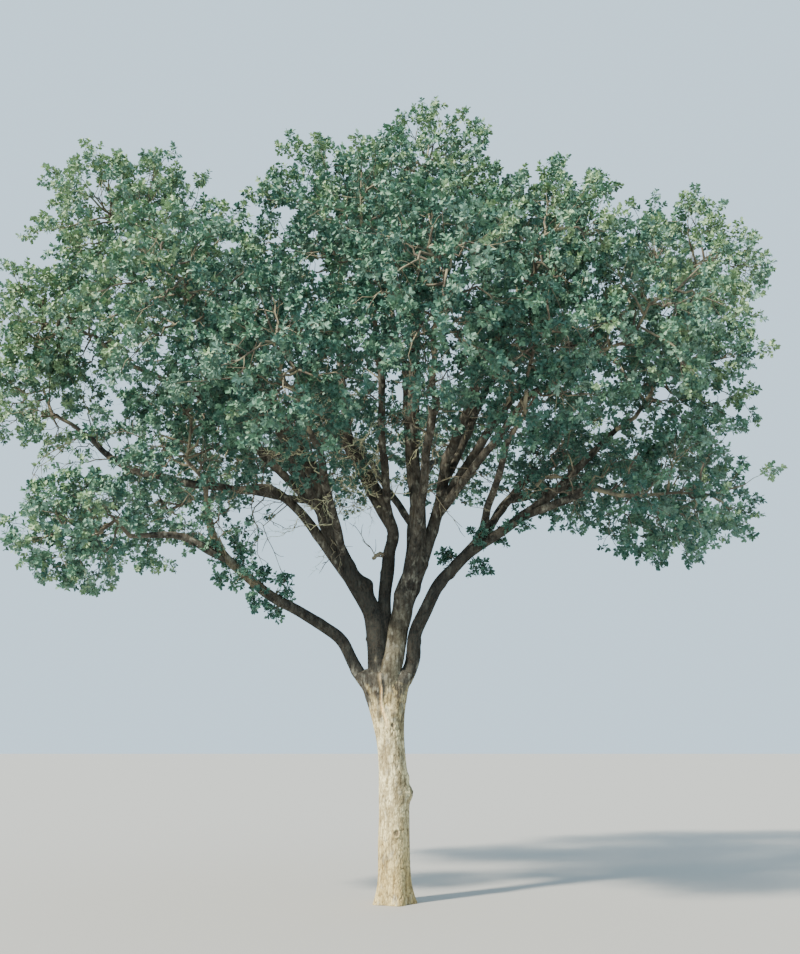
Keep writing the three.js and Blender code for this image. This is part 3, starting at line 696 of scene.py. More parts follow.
def limb_line(start, bends, centre, half, seed):
    """The centreline of a limb as a function of the share along it, and its length.

    A smooth cubic runs through the start, the bends and the tip, with the slope at each half of the
    way between its neighbours. Waves that die out at both ends are added, sideways and upright."""
    centre = np.array(centre)
    arch = start + ARCH_AT * (centre - start) + UP * ARCH_RISE * np.linalg.norm(centre - start)
    through = np.array([start, *bends]) if bends else np.array([start, arch])
    inward = unit(through[-1] - centre)
    tip = centre + inward * BOUGH_ENTERS * mass_reach(half, inward)
    stops = np.vstack([2 * start - through[1], through, tip, 2 * tip - through[-1]])
    side = unit(np.cross(tip - start, UP))
    over = np.cross(side, unit(tip - start))

    def smooth(share):
        """The cubic at each share."""
        place = np.asarray(share, dtype=float) * (len(stops) - 3)
        first = np.minimum(place.astype(int), len(stops) - 4)
        w = (place - first)[:, None]
        before, low, high, after = (stops[first + i] for i in range(4))
        leaving, arriving = (high - before) / 2, (after - low) / 2
        bow = (1 - w) * (leaving + low - high) + w * (high - low - arriving)
        return low + (high - low) * w + w * (1 - w) * bow

    length = np.linalg.norm(np.diff(smooth(np.linspace(0, 1, 201)), axis=0), axis=1).sum()

    def line(share):
        """The cubic with its waves at each share."""
        share = np.asarray(share, dtype=float)
        fade = (np.sin(np.pi * share) * length)[:, None]
        waves = 2 * np.pi * (np.outer(share, CROOK_WAVES) + [draw(seed, 1), draw(seed, 2)])
        fine = 2 * np.pi * (WIGGLE_WAVES * share[:, None] + [draw(seed, 4), draw(seed, 5)])
        shifts = fade * (CROOK * np.sin(waves) + WIGGLE * np.sin(fine))
        return smooth(share) + shifts[:, :1] * side + shifts[:, 1:] * over

    return line, length


def limb_radius(girth, length, share):
    """A limb's radius: it tapers to its tip by a power, and its collar swells by a falling
    exponential where it leaves its parent."""
    base = girth / 2
    collar = base * COLLAR * np.exp(-share * length / COLLAR_LENGTH)
    return TIP_RADIUS + (base - TIP_RADIUS) * (1 - share) ** TAPER + collar


def rings_along(path):
    """Two directions square to a path at each of its points: the first is kept as level as the
    path's whole heading lets it be."""
    ahead = unit(np.gradient(path, axis=-2))
    level = np.cross(path[..., -1, :] - path[..., 0, :], UP)
    level = np.where(np.linalg.norm(level, axis=-1, keepdims=True) < 1e-6, [1.0, 0.0, 0.0], level)
    level = level[..., None, :]
    side = unit(level - (level * ahead).sum(axis=-1, keepdims=True) * ahead)
    return side, np.cross(ahead, side)


def polygon(side, over, sides):
    """Headings to the corners of a polygon in the plane of each pair of square directions."""
    angle = 2 * np.pi * np.arange(sides)[:, None] / sides
    return side[..., None, :] * np.cos(angle) + over[..., None, :] * np.sin(angle)


def limb_surface(line, length, girth, seed, lumps):
    """Points of a limb and how deep each lies in a fissure: rings about the centreline, with slow
    hollows, a bell-shaped lump here and there, and the fissures of the bark."""
    spacing, side_width = BOUGH_GRID["main" if girth >= MAIN_GIRTH else "side"]
    share = np.linspace(0, 1, max(LEAST_RINGS, round(length / spacing)))
    sides = max(LEAST_SIDES, round(np.pi * girth / side_width))
    path = line(share)
    turn = np.linspace(0, 1, sides, endpoint=False)[None, :]
    along = share[:, None] * length
    foot = 1 - FOOT_DRAWN_IN * (1 - step_up(along, 0, FOOT_LENGTH))
    radius = foot * limb_radius(girth, length, share)[:, None]
    swell = BOUGH_HOLLOWS * (noise_round(turn, along, BOUGH_HOLLOW_CELLS, seed + 31) - 0.5)
    for lump_share, lump_turn, proud, spread in lumps:
        gap = np.abs((turn - lump_turn + 0.5) % 1 - 0.5) * 2 * np.pi * radius
        swell = swell + proud * bell(gap / spread, (along - lump_share * length) / spread)
    plates = max(LEAST_PLATES, round(np.pi * girth / BOUGH_PLATE[0]))
    fissure = bark_fissures(turn + 0 * along, along / BOUGH_PLATE[1] + 0 * turn, seed + 40, plates)
    out = radius * (1 + swell) - BOUGH_FISSURE_DEPTH * fissure
    return path[:, None] + out[..., None] * polygon(*rings_along(path), sides), fissure


def joined(parts):
    """Several (points, face set, face set, ...) as one, each part's corner numbers moved on."""
    points, *face_sets = zip(*parts)
    starts = np.cumsum([0] + [len(part) for part in points])
    faces = [np.vstack([part + start for part, start in zip(parts_faces, starts)])
             for parts_faces in face_sets]
    return np.vstack(points), *faces


def lumps_of(length, seed):
    """The lumps of a limb, one for each spacing of its length: share along, share round, height and
    spread."""
    k = np.arange(int(length / LUMP_SPACING))
    place = (k + draw(seed, 50 + k)) / max(1, len(k))
    proud = part_way(LUMP_PROUD, draw(seed, 150 + k) ** 2)
    return np.stack([place, draw(seed, 100 + k), proud, np.full(len(k), LUMP_SPREAD)], axis=-1)


CENTRE_DARKENS = (4.1, 5.2)  # heights between which the centre bough's bark darkens
CENTRE_STAYS_PALE = 0.12
CENTRE_PALE_UP_TO = (5.6, 7.2)  # heights over which the last of its paleness goes
LOW_LEFT_TANS = (6.4, 7.4)  # heights over which the low left limb's bark turns tan
TANNING = 0.18
# Painted shade of the crown on the lower limbs: how far it lifts their darkness over 1, and the
# heights over which it comes in.
PAINTED_CROWN_SHADE = 0.45
PAINTED_CROWN_SHADE_FROM = (4.9, 5.5)
# Bough: the heights over which the painted shade of the crown on it gives way again.
PAINTED_CROWN_SHADE_UP_TO = {name: (7.4, 9.8) for name in ("left", "right", "centre_left")}
PAINTED_CROWN_SHADE_UP_TO["low_left"] = (6.2, 7.2)


def limb_darkness(name, points):
    """How dark a bough's bark is, partly darker bark and partly painted shade, and over 1 where the
    crown's shade is painted near black on the lower limbs above the fork. The centre bough stays
    paler for longer, and the low left limb turns a little tan further out."""
    height = points[..., 2]
    dark = darkening(points, CENTRE_DARKENS if name == "centre" else DARKENS)
    if name in PAINTED_CROWN_SHADE_UP_TO:
        dark = dark * (1 + PAINTED_CROWN_SHADE * within(height, PAINTED_CROWN_SHADE_FROM, PAINTED_CROWN_SHADE_UP_TO[name]))
    if name == "low_left":
        dark = dark * (1 - TANNING * step_up(height, *LOW_LEFT_TANS))
    if name == "centre":
        dark = dark * (1 - CENTRE_STAYS_PALE * (1 - step_up(height, *CENTRE_PALE_UP_TO)))
    return dark


limbs = {}
bough_parts = {"main": [], "side": []}
for seed, (name, row) in enumerate(LIMB_PLAN.items()):
    parent, at, girth, bends, centre, half, _ = row
    start = trunk_axis(at) if parent == "trunk" else limbs[parent][0]([at])[0]
    line, length = limb_line(start, bends, centre, half, seed)
    limbs[name] = (line, length)
    lumps = lumps_of(length, seed)
    if name in BIG_LUMPS:
        lumps = np.vstack([lumps, BIG_LUMPS[name]])
    grid, fissure = limb_surface(line, length, girth, seed, lumps)
    layers = [np.append(layer.ravel(), [0, 0]) for layer in (fissure, limb_darkness(name, grid))]
    kind = "main" if parent == "trunk" or name in ("centre_left", "centre_right") else "side"
    bough_parts[kind].append((name, closed_tube(grid), layers))

bough_bark = bark_material("bough bark")
for kind, parts in bough_parts.items():
    names, tubes, layers = zip(*parts)
    boughs = wood_piece(f"boughs_{kind}", "bough_bark", bough_bark, *joined(tubes))
    fissure, dark = (np.concatenate(layer) for layer in zip(*layers))
    none = np.zeros_like(dark)
    give_values(
        boughs.data, fissure=BOUGH_FISSURE_SHOWS * fissure, dark=dark, bare=none, knot=none,
        earthy=none)
    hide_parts(*[f"bough_{name}" for name in names])

# Branches and twigs of the foliage. The stem of each mass grows on from its bough's tip, branches
# leave it one after another, each a golden angle further round, and twigs leave those in the same
# way. They arch a little, and each ends in a tuft of short bare shoots that carry the leaves.
BRANCHES = {
    # how full a mass is: its branches, the stem counted as one
    "packed": 24, "dense": 20, "full": 17, "light": 13, "sparse": 10, "thin": 7,
}
BRANCH_SPREAD = np.radians(128)
BRANCH_REACH = 0.66
REACH_VARIES = (0.93, 1.09)
BRANCHES_FROM_END = 0.5
BRANCHES_FROM_BOUGH = 0.22
STEM_RADII = (0.062, 0.016)
BRANCH_RADII = (0.034, 0.009)
BRANCH_JOINTS = 7
BRANCH_SIDES = 5
BRANCH_ARCH = 0.05  # its height as a share of the length
# Rows of growth: how many side shoots, their leans at the path's end and at its foot, how much they
# are lifted, their lengths, and the share of the path that carries them if it isn't REACH_BACK.
TWIG_LEANS = np.radians((38, 72))
SHOOT_LEANS = np.radians((30, 75))
SHOOT_LENGTH = (0.11, 0.26)
TWIGS = (8, TWIG_LEANS, 0.16, (0.55, 1.05), 0.68)
SHOOTS = (7, SHOOT_LEANS, 0.16, SHOOT_LENGTH, 0.50)
REACH_BACK = 0.8
TWIG_RADII = (0.011, 0.004)
TWIG_JOINTS = 4
TWIG_SIDES = 3
TWIG_ARCH = 0.06
TWIG_ROOM = 0.92  # share of the way to the border that a twig may take
SHOOT_RADIUS = 0.0055
END_LEAN = 0.15  # radians, of the shoot that goes on from the end
LEAN_SHAKE = 0.12
LENGTHENING = (0.85, 1.15)  # what a shoot's length is multiplied by, at the end and at the foot
SHAKE = 0.05  # how far a joint is shaken off its curve, as a share of the length
LEAST_ROOM = 0.12
SEED = 1741  # each mass has its own random draws
TWIG_WOOD = (0.13, 0.11, 0.085, 1)
TWIG_COATS = [
    # lichen in patches, and a dark grain: the noise's scale, range and strength, and the colour
    (3.0, 0.45, 0.62, 1.0, (0.36, 0.33, 0.22, 1)),
    (90.0, 0.35, 0.70, 0.5, (0.05, 0.04, 0.03, 1)),
]


def borders_of(name):
    """The flat borders of a mass's space: half-way to each neighbour, weighed by their reaches."""
    centre, half = (np.array(part) for part in LIMB_PLAN[name][4:6])
    normals, depths = [], []
    for other, row in LIMB_PLAN.items():
        if other == name:
            continue
        apart = np.array(row[4]) - centre
        towards = unit(apart)
        mine = mass_reach(half, towards)
        border = np.linalg.norm(apart) * mine / (mine + mass_reach(row[5], towards))
        if border < mine:
            normals.append(towards)
            depths.append(border)
    return centre, half, np.array(normals).reshape(-1, 3), np.array(depths)


def room_along(space, roots, headings):
    """How far each heading can run from its root before it leaves the space: the far root of the
    quadratic for the ellipsoid, or the nearest flat border if that comes first."""
    centre, half, normals, depths = space
    scale = np.array([half[0], half[0], half[1]])
    start, step = (roots - centre) / scale, headings / scale
    a, b = (step * step).sum(axis=-1), (start * step).sum(axis=-1)
    c = (start * start).sum(axis=-1) - 1
    room = (-b + np.sqrt(np.maximum(b * b - a * c, 0))) / a
    room = np.where(c > 0, 0, room)
    if len(normals):
        towards = headings @ normals.T
        left = depths - (roots - centre) @ normals.T
        met = np.where(towards > 1e-6, left / np.maximum(towards, 1e-6), np.inf)
        room = np.minimum(room, np.where((left < 0).any(axis=-1), 0, met.min(axis=-1)))
    return room


def square_to(headings):
    """Two directions square to each heading and to each other."""
    steep = np.abs(headings[..., 2:]) > 0.9
    side = unit(np.cross(headings, np.where(steep, [1.0, 0.0, 0.0], UP)))
    return side, np.cross(headings, side)


def lean(headings, angle, turn):
    """Headings leant over by an angle, towards a direction square to them that is turned round."""
    side, over = square_to(headings)
    angle, turn = np.asarray(angle)[..., None], np.asarray(turn)[..., None]
    return headings * np.cos(angle) + np.sin(angle) * (side * np.cos(turn) + over * np.sin(turn))


def arched(roots, ends, joints, lift):
    """Paths from roots to ends: straight lines lifted by a half sine and shaken by normal draws,
    which both die out at the ends."""
    share = np.linspace(0, 1, joints)[None, :, None]
    length = np.linalg.norm(ends - roots, axis=-1)[:, None, None]
    bow = np.sin(np.pi * share) * length
    shaken_by = growth.normal(0, SHAKE, (len(roots), joints, 3))
    return roots[:, None] + (ends - roots)[:, None] * share + bow * (lift * UP + shaken_by)


def points_on(paths, share):
    """The point and heading of each path at each share along it, between the nearest two joints."""
    place = share * (paths.shape[1] - 1)
    low = np.minimum(place.astype(int), paths.shape[1] - 2)
    rise = paths[:, low + 1] - paths[:, low]
    return paths[:, low] + rise * (place - low)[None, :, None], unit(rise)


def side_shoots(paths, count, leans, lift, lengths, reach_back=REACH_BACK):
    """Roots, headings and lengths of the shoots that a row of growth puts on each path: one goes on
    from its end, and the others leave it further and further back, each a golden angle further
    round and leaning out more."""
    k = np.arange(count)
    roots, headings = points_on(paths, 1 - reach_back * k / count)
    angle = np.where(k == 0, END_LEAN, part_way(leans, k / count))
    turn = k * GOLDEN_ANGLE + growth.uniform(0, 2 * np.pi, (len(paths), 1))
    angle = angle + growth.normal(0, LEAN_SHAKE, turn.shape)
    headings = unit(lean(headings, angle, turn) + lift * UP)
    length = growth.uniform(*lengths, turn.shape) * part_way(LENGTHENING, k / count)
    return roots.reshape(-1, 3), headings.reshape(-1, 3), length.ravel()


def shoot_ends(*growing):
    """The feet and the tips of side shoots."""
    feet, headings, lengths = side_shoots(*growing)
    return feet, feet + headings * lengths[:, None]


def rods(paths, radii, sides):
    """Closed rods along many paths at once: each ring is a polygon about a joint, its radius runs
    evenly from the first to the last, and both ends are closed by one face. The two radii are the
    same for every rod, or a table of one for each."""
    count, joints = paths.shape[:2]
    radius = np.linspace(*radii, joints, axis=-1).reshape(-1, joints)[:, :, None, None]
    grid = paths[:, :, None] + radius * polygon(*rings_along(paths), sides)
    ring = np.arange(count * joints * sides).reshape(count, joints, sides)
    beside = np.roll(ring, -1, axis=2)
    walls = np.stack([ring[:, :-1], beside[:, :-1], beside[:, 1:], ring[:, 1:]], axis=-1)
    return grid.reshape(-1, 3), walls.reshape(-1, 4), ring[:, 0, ::-1], ring[:, -1]


def spikes(roots, tips, radius):
    """Thin three-sided shoots that end in a point."""
    foot = roots[:, None] + radius * polygon(*square_to(unit(tips - roots)), 3)
    points = np.concatenate([foot, tips[:, None]], axis=1)
    first = 4 * np.arange(len(roots))[:, None, None]
    faces = first + np.array([[0, 2, 1], [0, 1, 3], [1, 2, 3], [2, 0, 3]])
    return points.reshape(-1, 3), faces.reshape(-1, 3)


def grow_mass(name):
    """The wood of one mass: the stem's path, its branches' paths, their twigs' paths, and the root
    and tip of every shoot with the number of the twig that it is on."""
    line, _ = limbs[name]
    space = borders_of(name)
    centre = space[0]
    tip = line([1.0])[0]
    heading = unit(centre - tip)
    stem_end = centre + heading * BRANCH_REACH * room_along(space, centre[None], heading[None])[0]
    stem_start = tip - heading * TIP_RADIUS / 2
    count = BRANCHES[LIMB_PLAN[name][6]]
    nth = np.arange(1, count)
    share = nth / (count - 0.5)
    angle = np.arccos(1 - share * (1 - np.cos(BRANCH_SPREAD)))
    outward = lean(heading[None], angle, nth * GOLDEN_ANGLE)
    highest = 1 - BRANCHES_FROM_END / np.linalg.norm(stem_end - stem_start)
    stem = arched(stem_start[None], stem_end[None], BRANCH_JOINTS, 0.0)
    roots = points_on(stem, part_way((highest, BRANCHES_FROM_BOUGH), share))[0][0]
    reach = room_along(space, np.broadcast_to(centre, outward.shape), outward)
    reach = reach * BRANCH_REACH * growth.uniform(*REACH_VARIES, len(reach))
    branches = arched(roots, centre + outward * reach[:, None], BRANCH_JOINTS, BRANCH_ARCH)
    roots, headings, lengths = side_shoots(np.concatenate([stem, branches]), *TWIGS)
    lengths = np.minimum(lengths, TWIG_ROOM * room_along(space, roots, headings))
    kept = lengths > 2 * LEAST_ROOM
    ends = roots + headings * lengths[:, None]
    twigs = arched(roots[kept], ends[kept], TWIG_JOINTS, TWIG_ARCH)
    roots, headings, lengths = side_shoots(twigs, *SHOOTS)
    twig_of = np.repeat(np.arange(len(twigs)), SHOOTS[0])
    room = room_along(space, roots, headings)
    kept = room > LEAST_ROOM
    tips = roots + headings * np.minimum(lengths, room)[:, None]
    return stem, branches, twigs, roots[kept], tips[kept], twig_of[kept]


def twig_material(name, roughness, colour, *coats):
    """The bark of fine wood: one colour, and each coat's colour laid over it by noise."""
    material, tree, inputs = new_material(name, roughness)
    for scale, low, high, most, coat in coats:
        cover = ranged(tree, noise(tree, scale), low, high, most)
        colour = laid_over(tree, cover, colour, coat)
    tree.links.new(colour, inputs["Base Color"])
    return material


def wood_pieces(material, wood):
    """Each shape of a table as a piece of wood under its own name."""
    for name, shape in wood.items():
        wood_piece(name, "bough_bark", material, *shape)


def all_of(names, part):
    """One part of several masses' wood, joined."""
    return np.concatenate([masses[name][part] for name in names])


masses = {}
for number, name in enumerate(LIMB_PLAN):
    growth = np.random.default_rng([SEED, number])
    masses[name] = grow_mass(name)
stems, branches, twigs, feet, tips = (all_of(LIMB_PLAN, part) for part in range(5))
twig_bark = twig_material("twig bark", 0.9, TWIG_WOOD, *TWIG_COATS)
wood_pieces(twig_bark, {
    "stems": rods(stems, STEM_RADII, 2 * BRANCH_SIDES),
    "branches": rods(branches, BRANCH_RADII, BRANCH_SIDES),
    "twigs": rods(twigs, TWIG_RADII, TWIG_SIDES),
    "shoots": spikes(feet, tips, SHOOT_RADIUS),
})

# Inner branches. Small leafy branches leave every bough along most of its length, each a golden
# angle further round, and fork by the same rule. Some of them have died and are bare.
INNER_SPACING = 0.42  # along the bough
INNER_LOWEST = {
    # bough: height above which it has them
    "low_left": 7.3, "left": 9.3, "left_out": 9.7, "centre_left": 9.9, "centre": 10.3,
    "centre_right": 10.9, "front": 10.4, "front_right": 10.9, "back": 10.2, "right": 10.9,
    "right_rising": 11.2, "inner_right": 10.0,
}
INNER_LOWEST_ELSEWHERE = 9.2
INNER_GROWTH = (np.radians((45, 85)), 0.10, (0.7, 1.9))  # a row of growth but for how many
INNER_TWIGS = (6, TWIG_LEANS, 0.16, (0.30, 0.75))
INNER_SHOOTS = (3, SHOOT_LEANS, 0.16, SHOOT_LENGTH)
INNER_RADII = (0.024, 0.007)
DEAD_SHARE = 0.25


def inner_branches(name):
    """Paths of the small branches of one bough, from side shoots of its centreline."""
    line, length = limbs[name]
    path = line(np.linspace(0, 1, 61))[None]
    count = max(2, round(REACH_BACK * length / INNER_SPACING))
    feet, tips = shoot_ends(path, count, *INNER_GROWTH)
    kept = feet[:, 2] > INNER_LOWEST.get(name, INNER_LOWEST_ELSEWHERE)
    return arched(feet[kept], tips[kept], BRANCH_JOINTS, BRANCH_ARCH)


inner = np.concatenate([inner_branches(name) for name in LIMB_PLAN])
inner = growth.permutation(inner)
inner_twigs = arched(*shoot_ends(inner, *INNER_TWIGS), TWIG_JOINTS, TWIG_ARCH)
inner_shoots = shoot_ends(inner_twigs, *INNER_SHOOTS)
wood_pieces(twig_bark, {
    "inner_branches": rods(inner, INNER_RADII, BRANCH_SIDES),
    "inner_twigs": rods(inner_twigs, TWIG_RADII, TWIG_SIDES),
    "inner_shoots": spikes(*inner_shoots, SHOOT_RADIUS),
})

# Bare branches. Dead twigs that hang from the lower boughs, and a short cut stub with a thin branch
# of its own. Each starts at the nearest point of its bough and passes through its points, and the
# thin ones carry a few side twigs.
BARE_BRANCHES = [
    # bough, radii at foot and tip, points
    ("left_out", (0.019, 0.005),
     [(-3.6, -0.3, 9.2), (-3.4, -0.4, 8.6), (-3.35, -0.4, 8.0), (-3.2, -0.4, 7.6)]),
    ("left_out", (0.017, 0.005), [(-3.3, -0.3, 8.7), (-3.0, -0.4, 8.1), (-2.65, -0.4, 7.3)]),
    ("left_out", (0.014, 0.005), [(-3.2, -0.3, 8.9), (-2.65, -0.4, 8.6), (-2.25, -0.4, 8.7)]),
    ("left_out", (0.020, 0.006), [(-9.2, 0.2, 10.6), (-9.4, 0.2, 10.25), (-9.1, 0.2, 9.95)]),
    ("left_out", (0.016, 0.005), [(-9.3, 0.2, 10.3), (-9.5, 0.2, 9.6), (-9.35, 0.2, 9.3)]),
    ("centre", (0.022, 0.006),
     [(1.6, -0.9, 9.9), (1.5, -0.9, 9.3), (1.75, -0.9, 9.1), (2.1, -0.9, 9.0)]),
    ("centre_right", (0.018, 0.005), [(2.0, -0.3, 10.2), (2.2, -0.5, 9.9), (2.65, -0.5, 9.6)]),
    ("centre", (0.018, 0.006), [(0.95, -0.4, 9.6), (1.2, -0.5, 9.2), (1.6, -0.6, 8.6)]),
    ("left", (0.016, 0.006), [(-1.5, -0.3, 8.05), (-1.75, -0.3, 7.7)]),
    ("left", (0.018, 0.006), [(-1.6, -0.4, 8.4), (-1.3, -0.5, 8.0), (-1.35, -0.5, 7.6)]),
    ("centre_left", (0.060, 0.050), [(-0.35, -0.05, 8.06), (-0.54, -0.08, 7.95)]),
    ("centre_left", (0.020, 0.007), [(-0.45, -0.06, 8.0), (-0.7, -0.1, 8.3), (-0.95, -0.1, 8.7)]),
]
BARE_JOINTS = 12
BARE_CROOK = 0.012  # how far its joints are shaken, less so at the first three
BARE_TWIGS = (5, SHOOT_LEANS, 0, (0.15, 0.45))
THICKEST_WITH_TWIGS = 0.03


def bare_path(name, points):
    """A path of evenly spaced joints from the bough's nearest point through the given points."""
    along = limbs[name][0](np.linspace(0, 1, 200))
    nearest = along[np.argmin(np.linalg.norm(along - points[0], axis=-1))]
    stops = np.vstack([nearest, points])
    reached = np.append(0, np.cumsum(np.linalg.norm(np.diff(stops, axis=0), axis=-1)))
    joints = np.linspace(0, reached[-1], BARE_JOINTS)
    path = np.stack([np.interp(joints, reached, part) for part in stops.T], axis=-1)
    fade = np.minimum(1, np.arange(BARE_JOINTS) / 3)[:, None]
    return path + growth.normal(0, BARE_CROOK, path.shape) * fade


bare = np.array([bare_path(name, points) for name, _, points in BARE_BRANCHES])
bare_radii = np.array([radii for _, radii, _ in BARE_BRANCHES])
thin = bare[bare_radii[:, 0] < THICKEST_WITH_TWIGS]
bare_twigs = arched(*shoot_ends(thin, *BARE_TWIGS), TWIG_JOINTS, 0.0)
bare_rods = [rods(bare, bare_radii.T, BRANCH_SIDES), rods(bare_twigs, TWIG_RADII, BRANCH_SIDES)]
wood_pieces(twig_bark, {"bare_branches": joined(bare_rods)})

# Sprays on the limbs. Short leafy branches spring straight from the bark of the low left limb and
# of the right one, well below the crown. Each forks once into twigs with a few leafy shoots.
LIMB_SPRAYS = {
    # bough: how many, and the shares of it between which they spring
    "low_left": (8, 0.53, 0.76),
    "right": (5, 0.55, 0.73),
}
LIMB_SPRAY_GROWTH = (np.radians((50, 100)), -0.1, (0.20, 0.55), 1.0)
LIMB_SPRAY_TWIGS = (4, TWIG_LEANS, 0.05, (0.12, 0.32))
LIMB_SPRAY_SHOOTS = (4, SHOOT_LEANS, 0.05, SHOOT_LENGTH)
LIMB_SPRAY_RADII = (0.012, 0.005)
SPRUNG_ARCH = 0.04


def sprung(table, joints, *growing):
    """Paths of the branches that spring from some boughs: a table names each bough, how many it
    has, and the shares of it between which they spring."""
    paths = []
    for name, (count, low, high) in table.items():
        path = limbs[name][0](np.linspace(low, high, 31))[None]
        paths.append(arched(*shoot_ends(path, count, *growing), joints, SPRUNG_ARCH))
    return np.concatenate(paths)


growth = np.random.default_rng([SEED, len(LIMB_PLAN) + 1])
limb_sprays = sprung(LIMB_SPRAYS, BRANCH_JOINTS, *LIMB_SPRAY_GROWTH)
limb_spray_twigs = arched(*shoot_ends(limb_sprays, *LIMB_SPRAY_TWIGS), TWIG_JOINTS, SPRUNG_ARCH)
limb_spray_shoots = shoot_ends(limb_spray_twigs, *LIMB_SPRAY_SHOOTS)
wood_pieces(twig_bark, {
    "limb_spray_branches": rods(limb_sprays, LIMB_SPRAY_RADII, BRANCH_SIDES),
    "limb_spray_twigs": rods(limb_spray_twigs, TWIG_RADII, TWIG_SIDES),
    "limb_spray_shoots": spikes(*limb_spray_shoots, SHOOT_RADIUS),
})

# Tangle. Fine dead branches, pale with lichen, spring from the boughs under the middle of the crown
# and fork twice. They are crooked, and nothing on them is alive but the lichen.
TANGLE = {
    # bough: how many branches, and the shares of it between which they spring
    "left": (10, 0.52, 0.72),
    "centre_left": (15, 0.50, 0.85),
    "centre": (6, 0.56, 0.72),
    "front_low_left": (7, 0.10, 0.60),
    "back_left": (6, 0.15, 0.50),
}
TANGLE_GROWTH = (np.radians((50, 95)), 0.15, (0.6, 1.5), 1.0)
TANGLE_TWIGS = (7, TWIG_LEANS, 0.05, (0.25, 0.65))
TANGLE_ENDS = (4, SHOOT_LEANS, 0, SHOOT_LENGTH)
TANGLE_RADII = (0.017, 0.005)
TANGLE_TWIG_RADII = (0.0075, 0.003)
TANGLE_TWIG_ARCH = 0.03
TANGLE_WOOD = (0.27, 0.25, 0.17, 1)
TANGLE_LICHEN = (7.0, 0.38, 0.55, 1.0, (0.66, 0.66, 0.42, 1))  # as in the twigs' table

growth = np.random.default_rng([SEED, len(LIMB_PLAN)])
tangle = sprung(TANGLE, 2 * BRANCH_JOINTS, *TANGLE_GROWTH)
tangle_twigs = arched(*shoot_ends(tangle, *TANGLE_TWIGS), BRANCH_JOINTS, TANGLE_TWIG_ARCH)
tangle_ends = shoot_ends(tangle_twigs, *TANGLE_ENDS)
wood_pieces(twig_material("lichened twig", 0.95, TANGLE_WOOD, TANGLE_LICHEN), {
    "tangle_branches": rods(tangle, TANGLE_RADII, BRANCH_SIDES),
    "tangle_twigs": rods(tangle_twigs, TANGLE_TWIG_RADII, TWIG_SIDES),
    "tangle_ends": spikes(*tangle_ends, SHOOT_RADIUS),
})

# Leaves. Small stiff lobed leaves, dark to light green, in rosettes round the end of every shoot.
# Each is a thin blade of four faces, folded along its midrib, and they are larger than life so that
# they fill the crown. Every rosette has one of the greens, so the tints change from spray to spray.
LEAVES_PER_SHOOT = 9
LEAVES_FROM = 0.35  # share of the shoot
LEAF_LENGTH = (0.088, 0.136)
LEAF_WIDTH = 0.76  # share of its length
LEAF_LEANS = np.radians((88, 28))  # at the foot of the rosette and at its tip
LEAF_LEAN_SHAKE = 0.2
LEAVES_FACE_UP = 0.7  # how strongly, beside how they face along the shoot
LEAVES_TURNED = 0.55  # how far their faces are shaken
LEAF_PATCHES = (2.5, 0.35, 0.65, 0.5)  # the noise's scale, range and strength
LEAF_SHADE = 0.62  # brightness of a patch beside the green
MIDRIB = (0.06, 0.02, 0.6)  # how far across a leaf it ends and is full, and its strength
MIDRIB_PALER = 1.9
TINT_BY_TWIG = 0.5  # share of the rosettes that have the green of their whole twig
LEAF_OUTLINE = np.array([
    # along, across, lift, as shares of the length, the width and the length
    [0.00, 0.00, 0.00],
    [1.00, 0.00, -0.10],
    [0.44, 0.52, 0.08],
    [0.66, 0.32, 0.03],
    [0.34, -0.30, 0.04],
    [0.76, -0.50, 0.02],
])
LEAF_FACES = np.array([[0, 3, 2], [0, 1, 3], [0, 4, 1], [4, 5, 1]])
LEAF_GREENS = {
    # name: (colour, share of the sprays)
    "dark leaf": ((0.052, 0.138, 0.104, 1), 0.22),
    "green leaf": ((0.105, 0.222, 0.144, 1), 0.34),
    "grey green leaf": ((0.162, 0.284, 0.216, 1), 0.26),
    "light leaf": ((0.230, 0.352, 0.192, 1), 0.18),
}
CROWN_MIDDLE = (0.5, 0.5, 9.5)
CROWN_REACH = (10.0, 9.0, 9.5)
SUN_LEAVES = 1.5  # how strongly the outermost sprays are drawn from the lighter greens: partly lighter sun leaves, partly painted light outside and painted shade within
SUN_LEAVES_AT = 0.85  # share of the crown's reach where neither end is favoured
HEART_MIDDLE = (-0.2, 11.8)  # place in x and height of the crown's heart as seen from the front, where shade is painted
HEART_REACH = (3.6, 2.4)
PAINTED_HEART_SHADE = 0.42  # how strongly its sprays are drawn from the darker greens, as painted shade
LEAF_GROUPS = {
    "leaves_top": ("centre", "centre_left", "centre_right", "back_top"),
    "leaves_upper_front": ("upper_front", "upper_front_right", "front", "front_right"),
    "leaves_left": ("left", "left_high", "left_out", "low_left", "low_left_side"),
    "leaves_front": ("front_left", "front_low_left", "right_rising"),
    "leaves_right": ("right", "right_high", "low_right", "inner_right"),
    "leaves_back": ("back", "back_left", "back_right", "back_inner"),
    "leaves_back_sides": ("back_upper_left", "back_upper_right", "low_back_left", "low_back_right"),
}


def rosettes(feet, tips):
    """Root, heading and facing of every leaf: they leave the outer part of each shoot, each a
    golden angle further round, leaning out less towards its tip, and face up and along the
    shoot."""
    k = np.arange(LEAVES_PER_SHOOT)
    share = k / (LEAVES_PER_SHOOT - 1)
    along = unit(tips - feet)[:, None] + 0 * k[None, :, None]
    roots = part_way((feet[:, None], tips[:, None]), part_way((LEAVES_FROM, 1), share)[:, None])
    angle = part_way(LEAF_LEANS, share) + growth.normal(0, LEAF_LEAN_SHAKE, along.shape[:2])
    turn = k * GOLDEN_ANGLE + growth.uniform(0, 2 * np.pi, (len(feet), 1))
    facing = along + LEAVES_FACE_UP * UP + growth.normal(0, LEAVES_TURNED, along.shape)
    return roots.reshape(-1, 3), lean(along, angle, turn).reshape(-1, 3), facing.reshape(-1, 3)


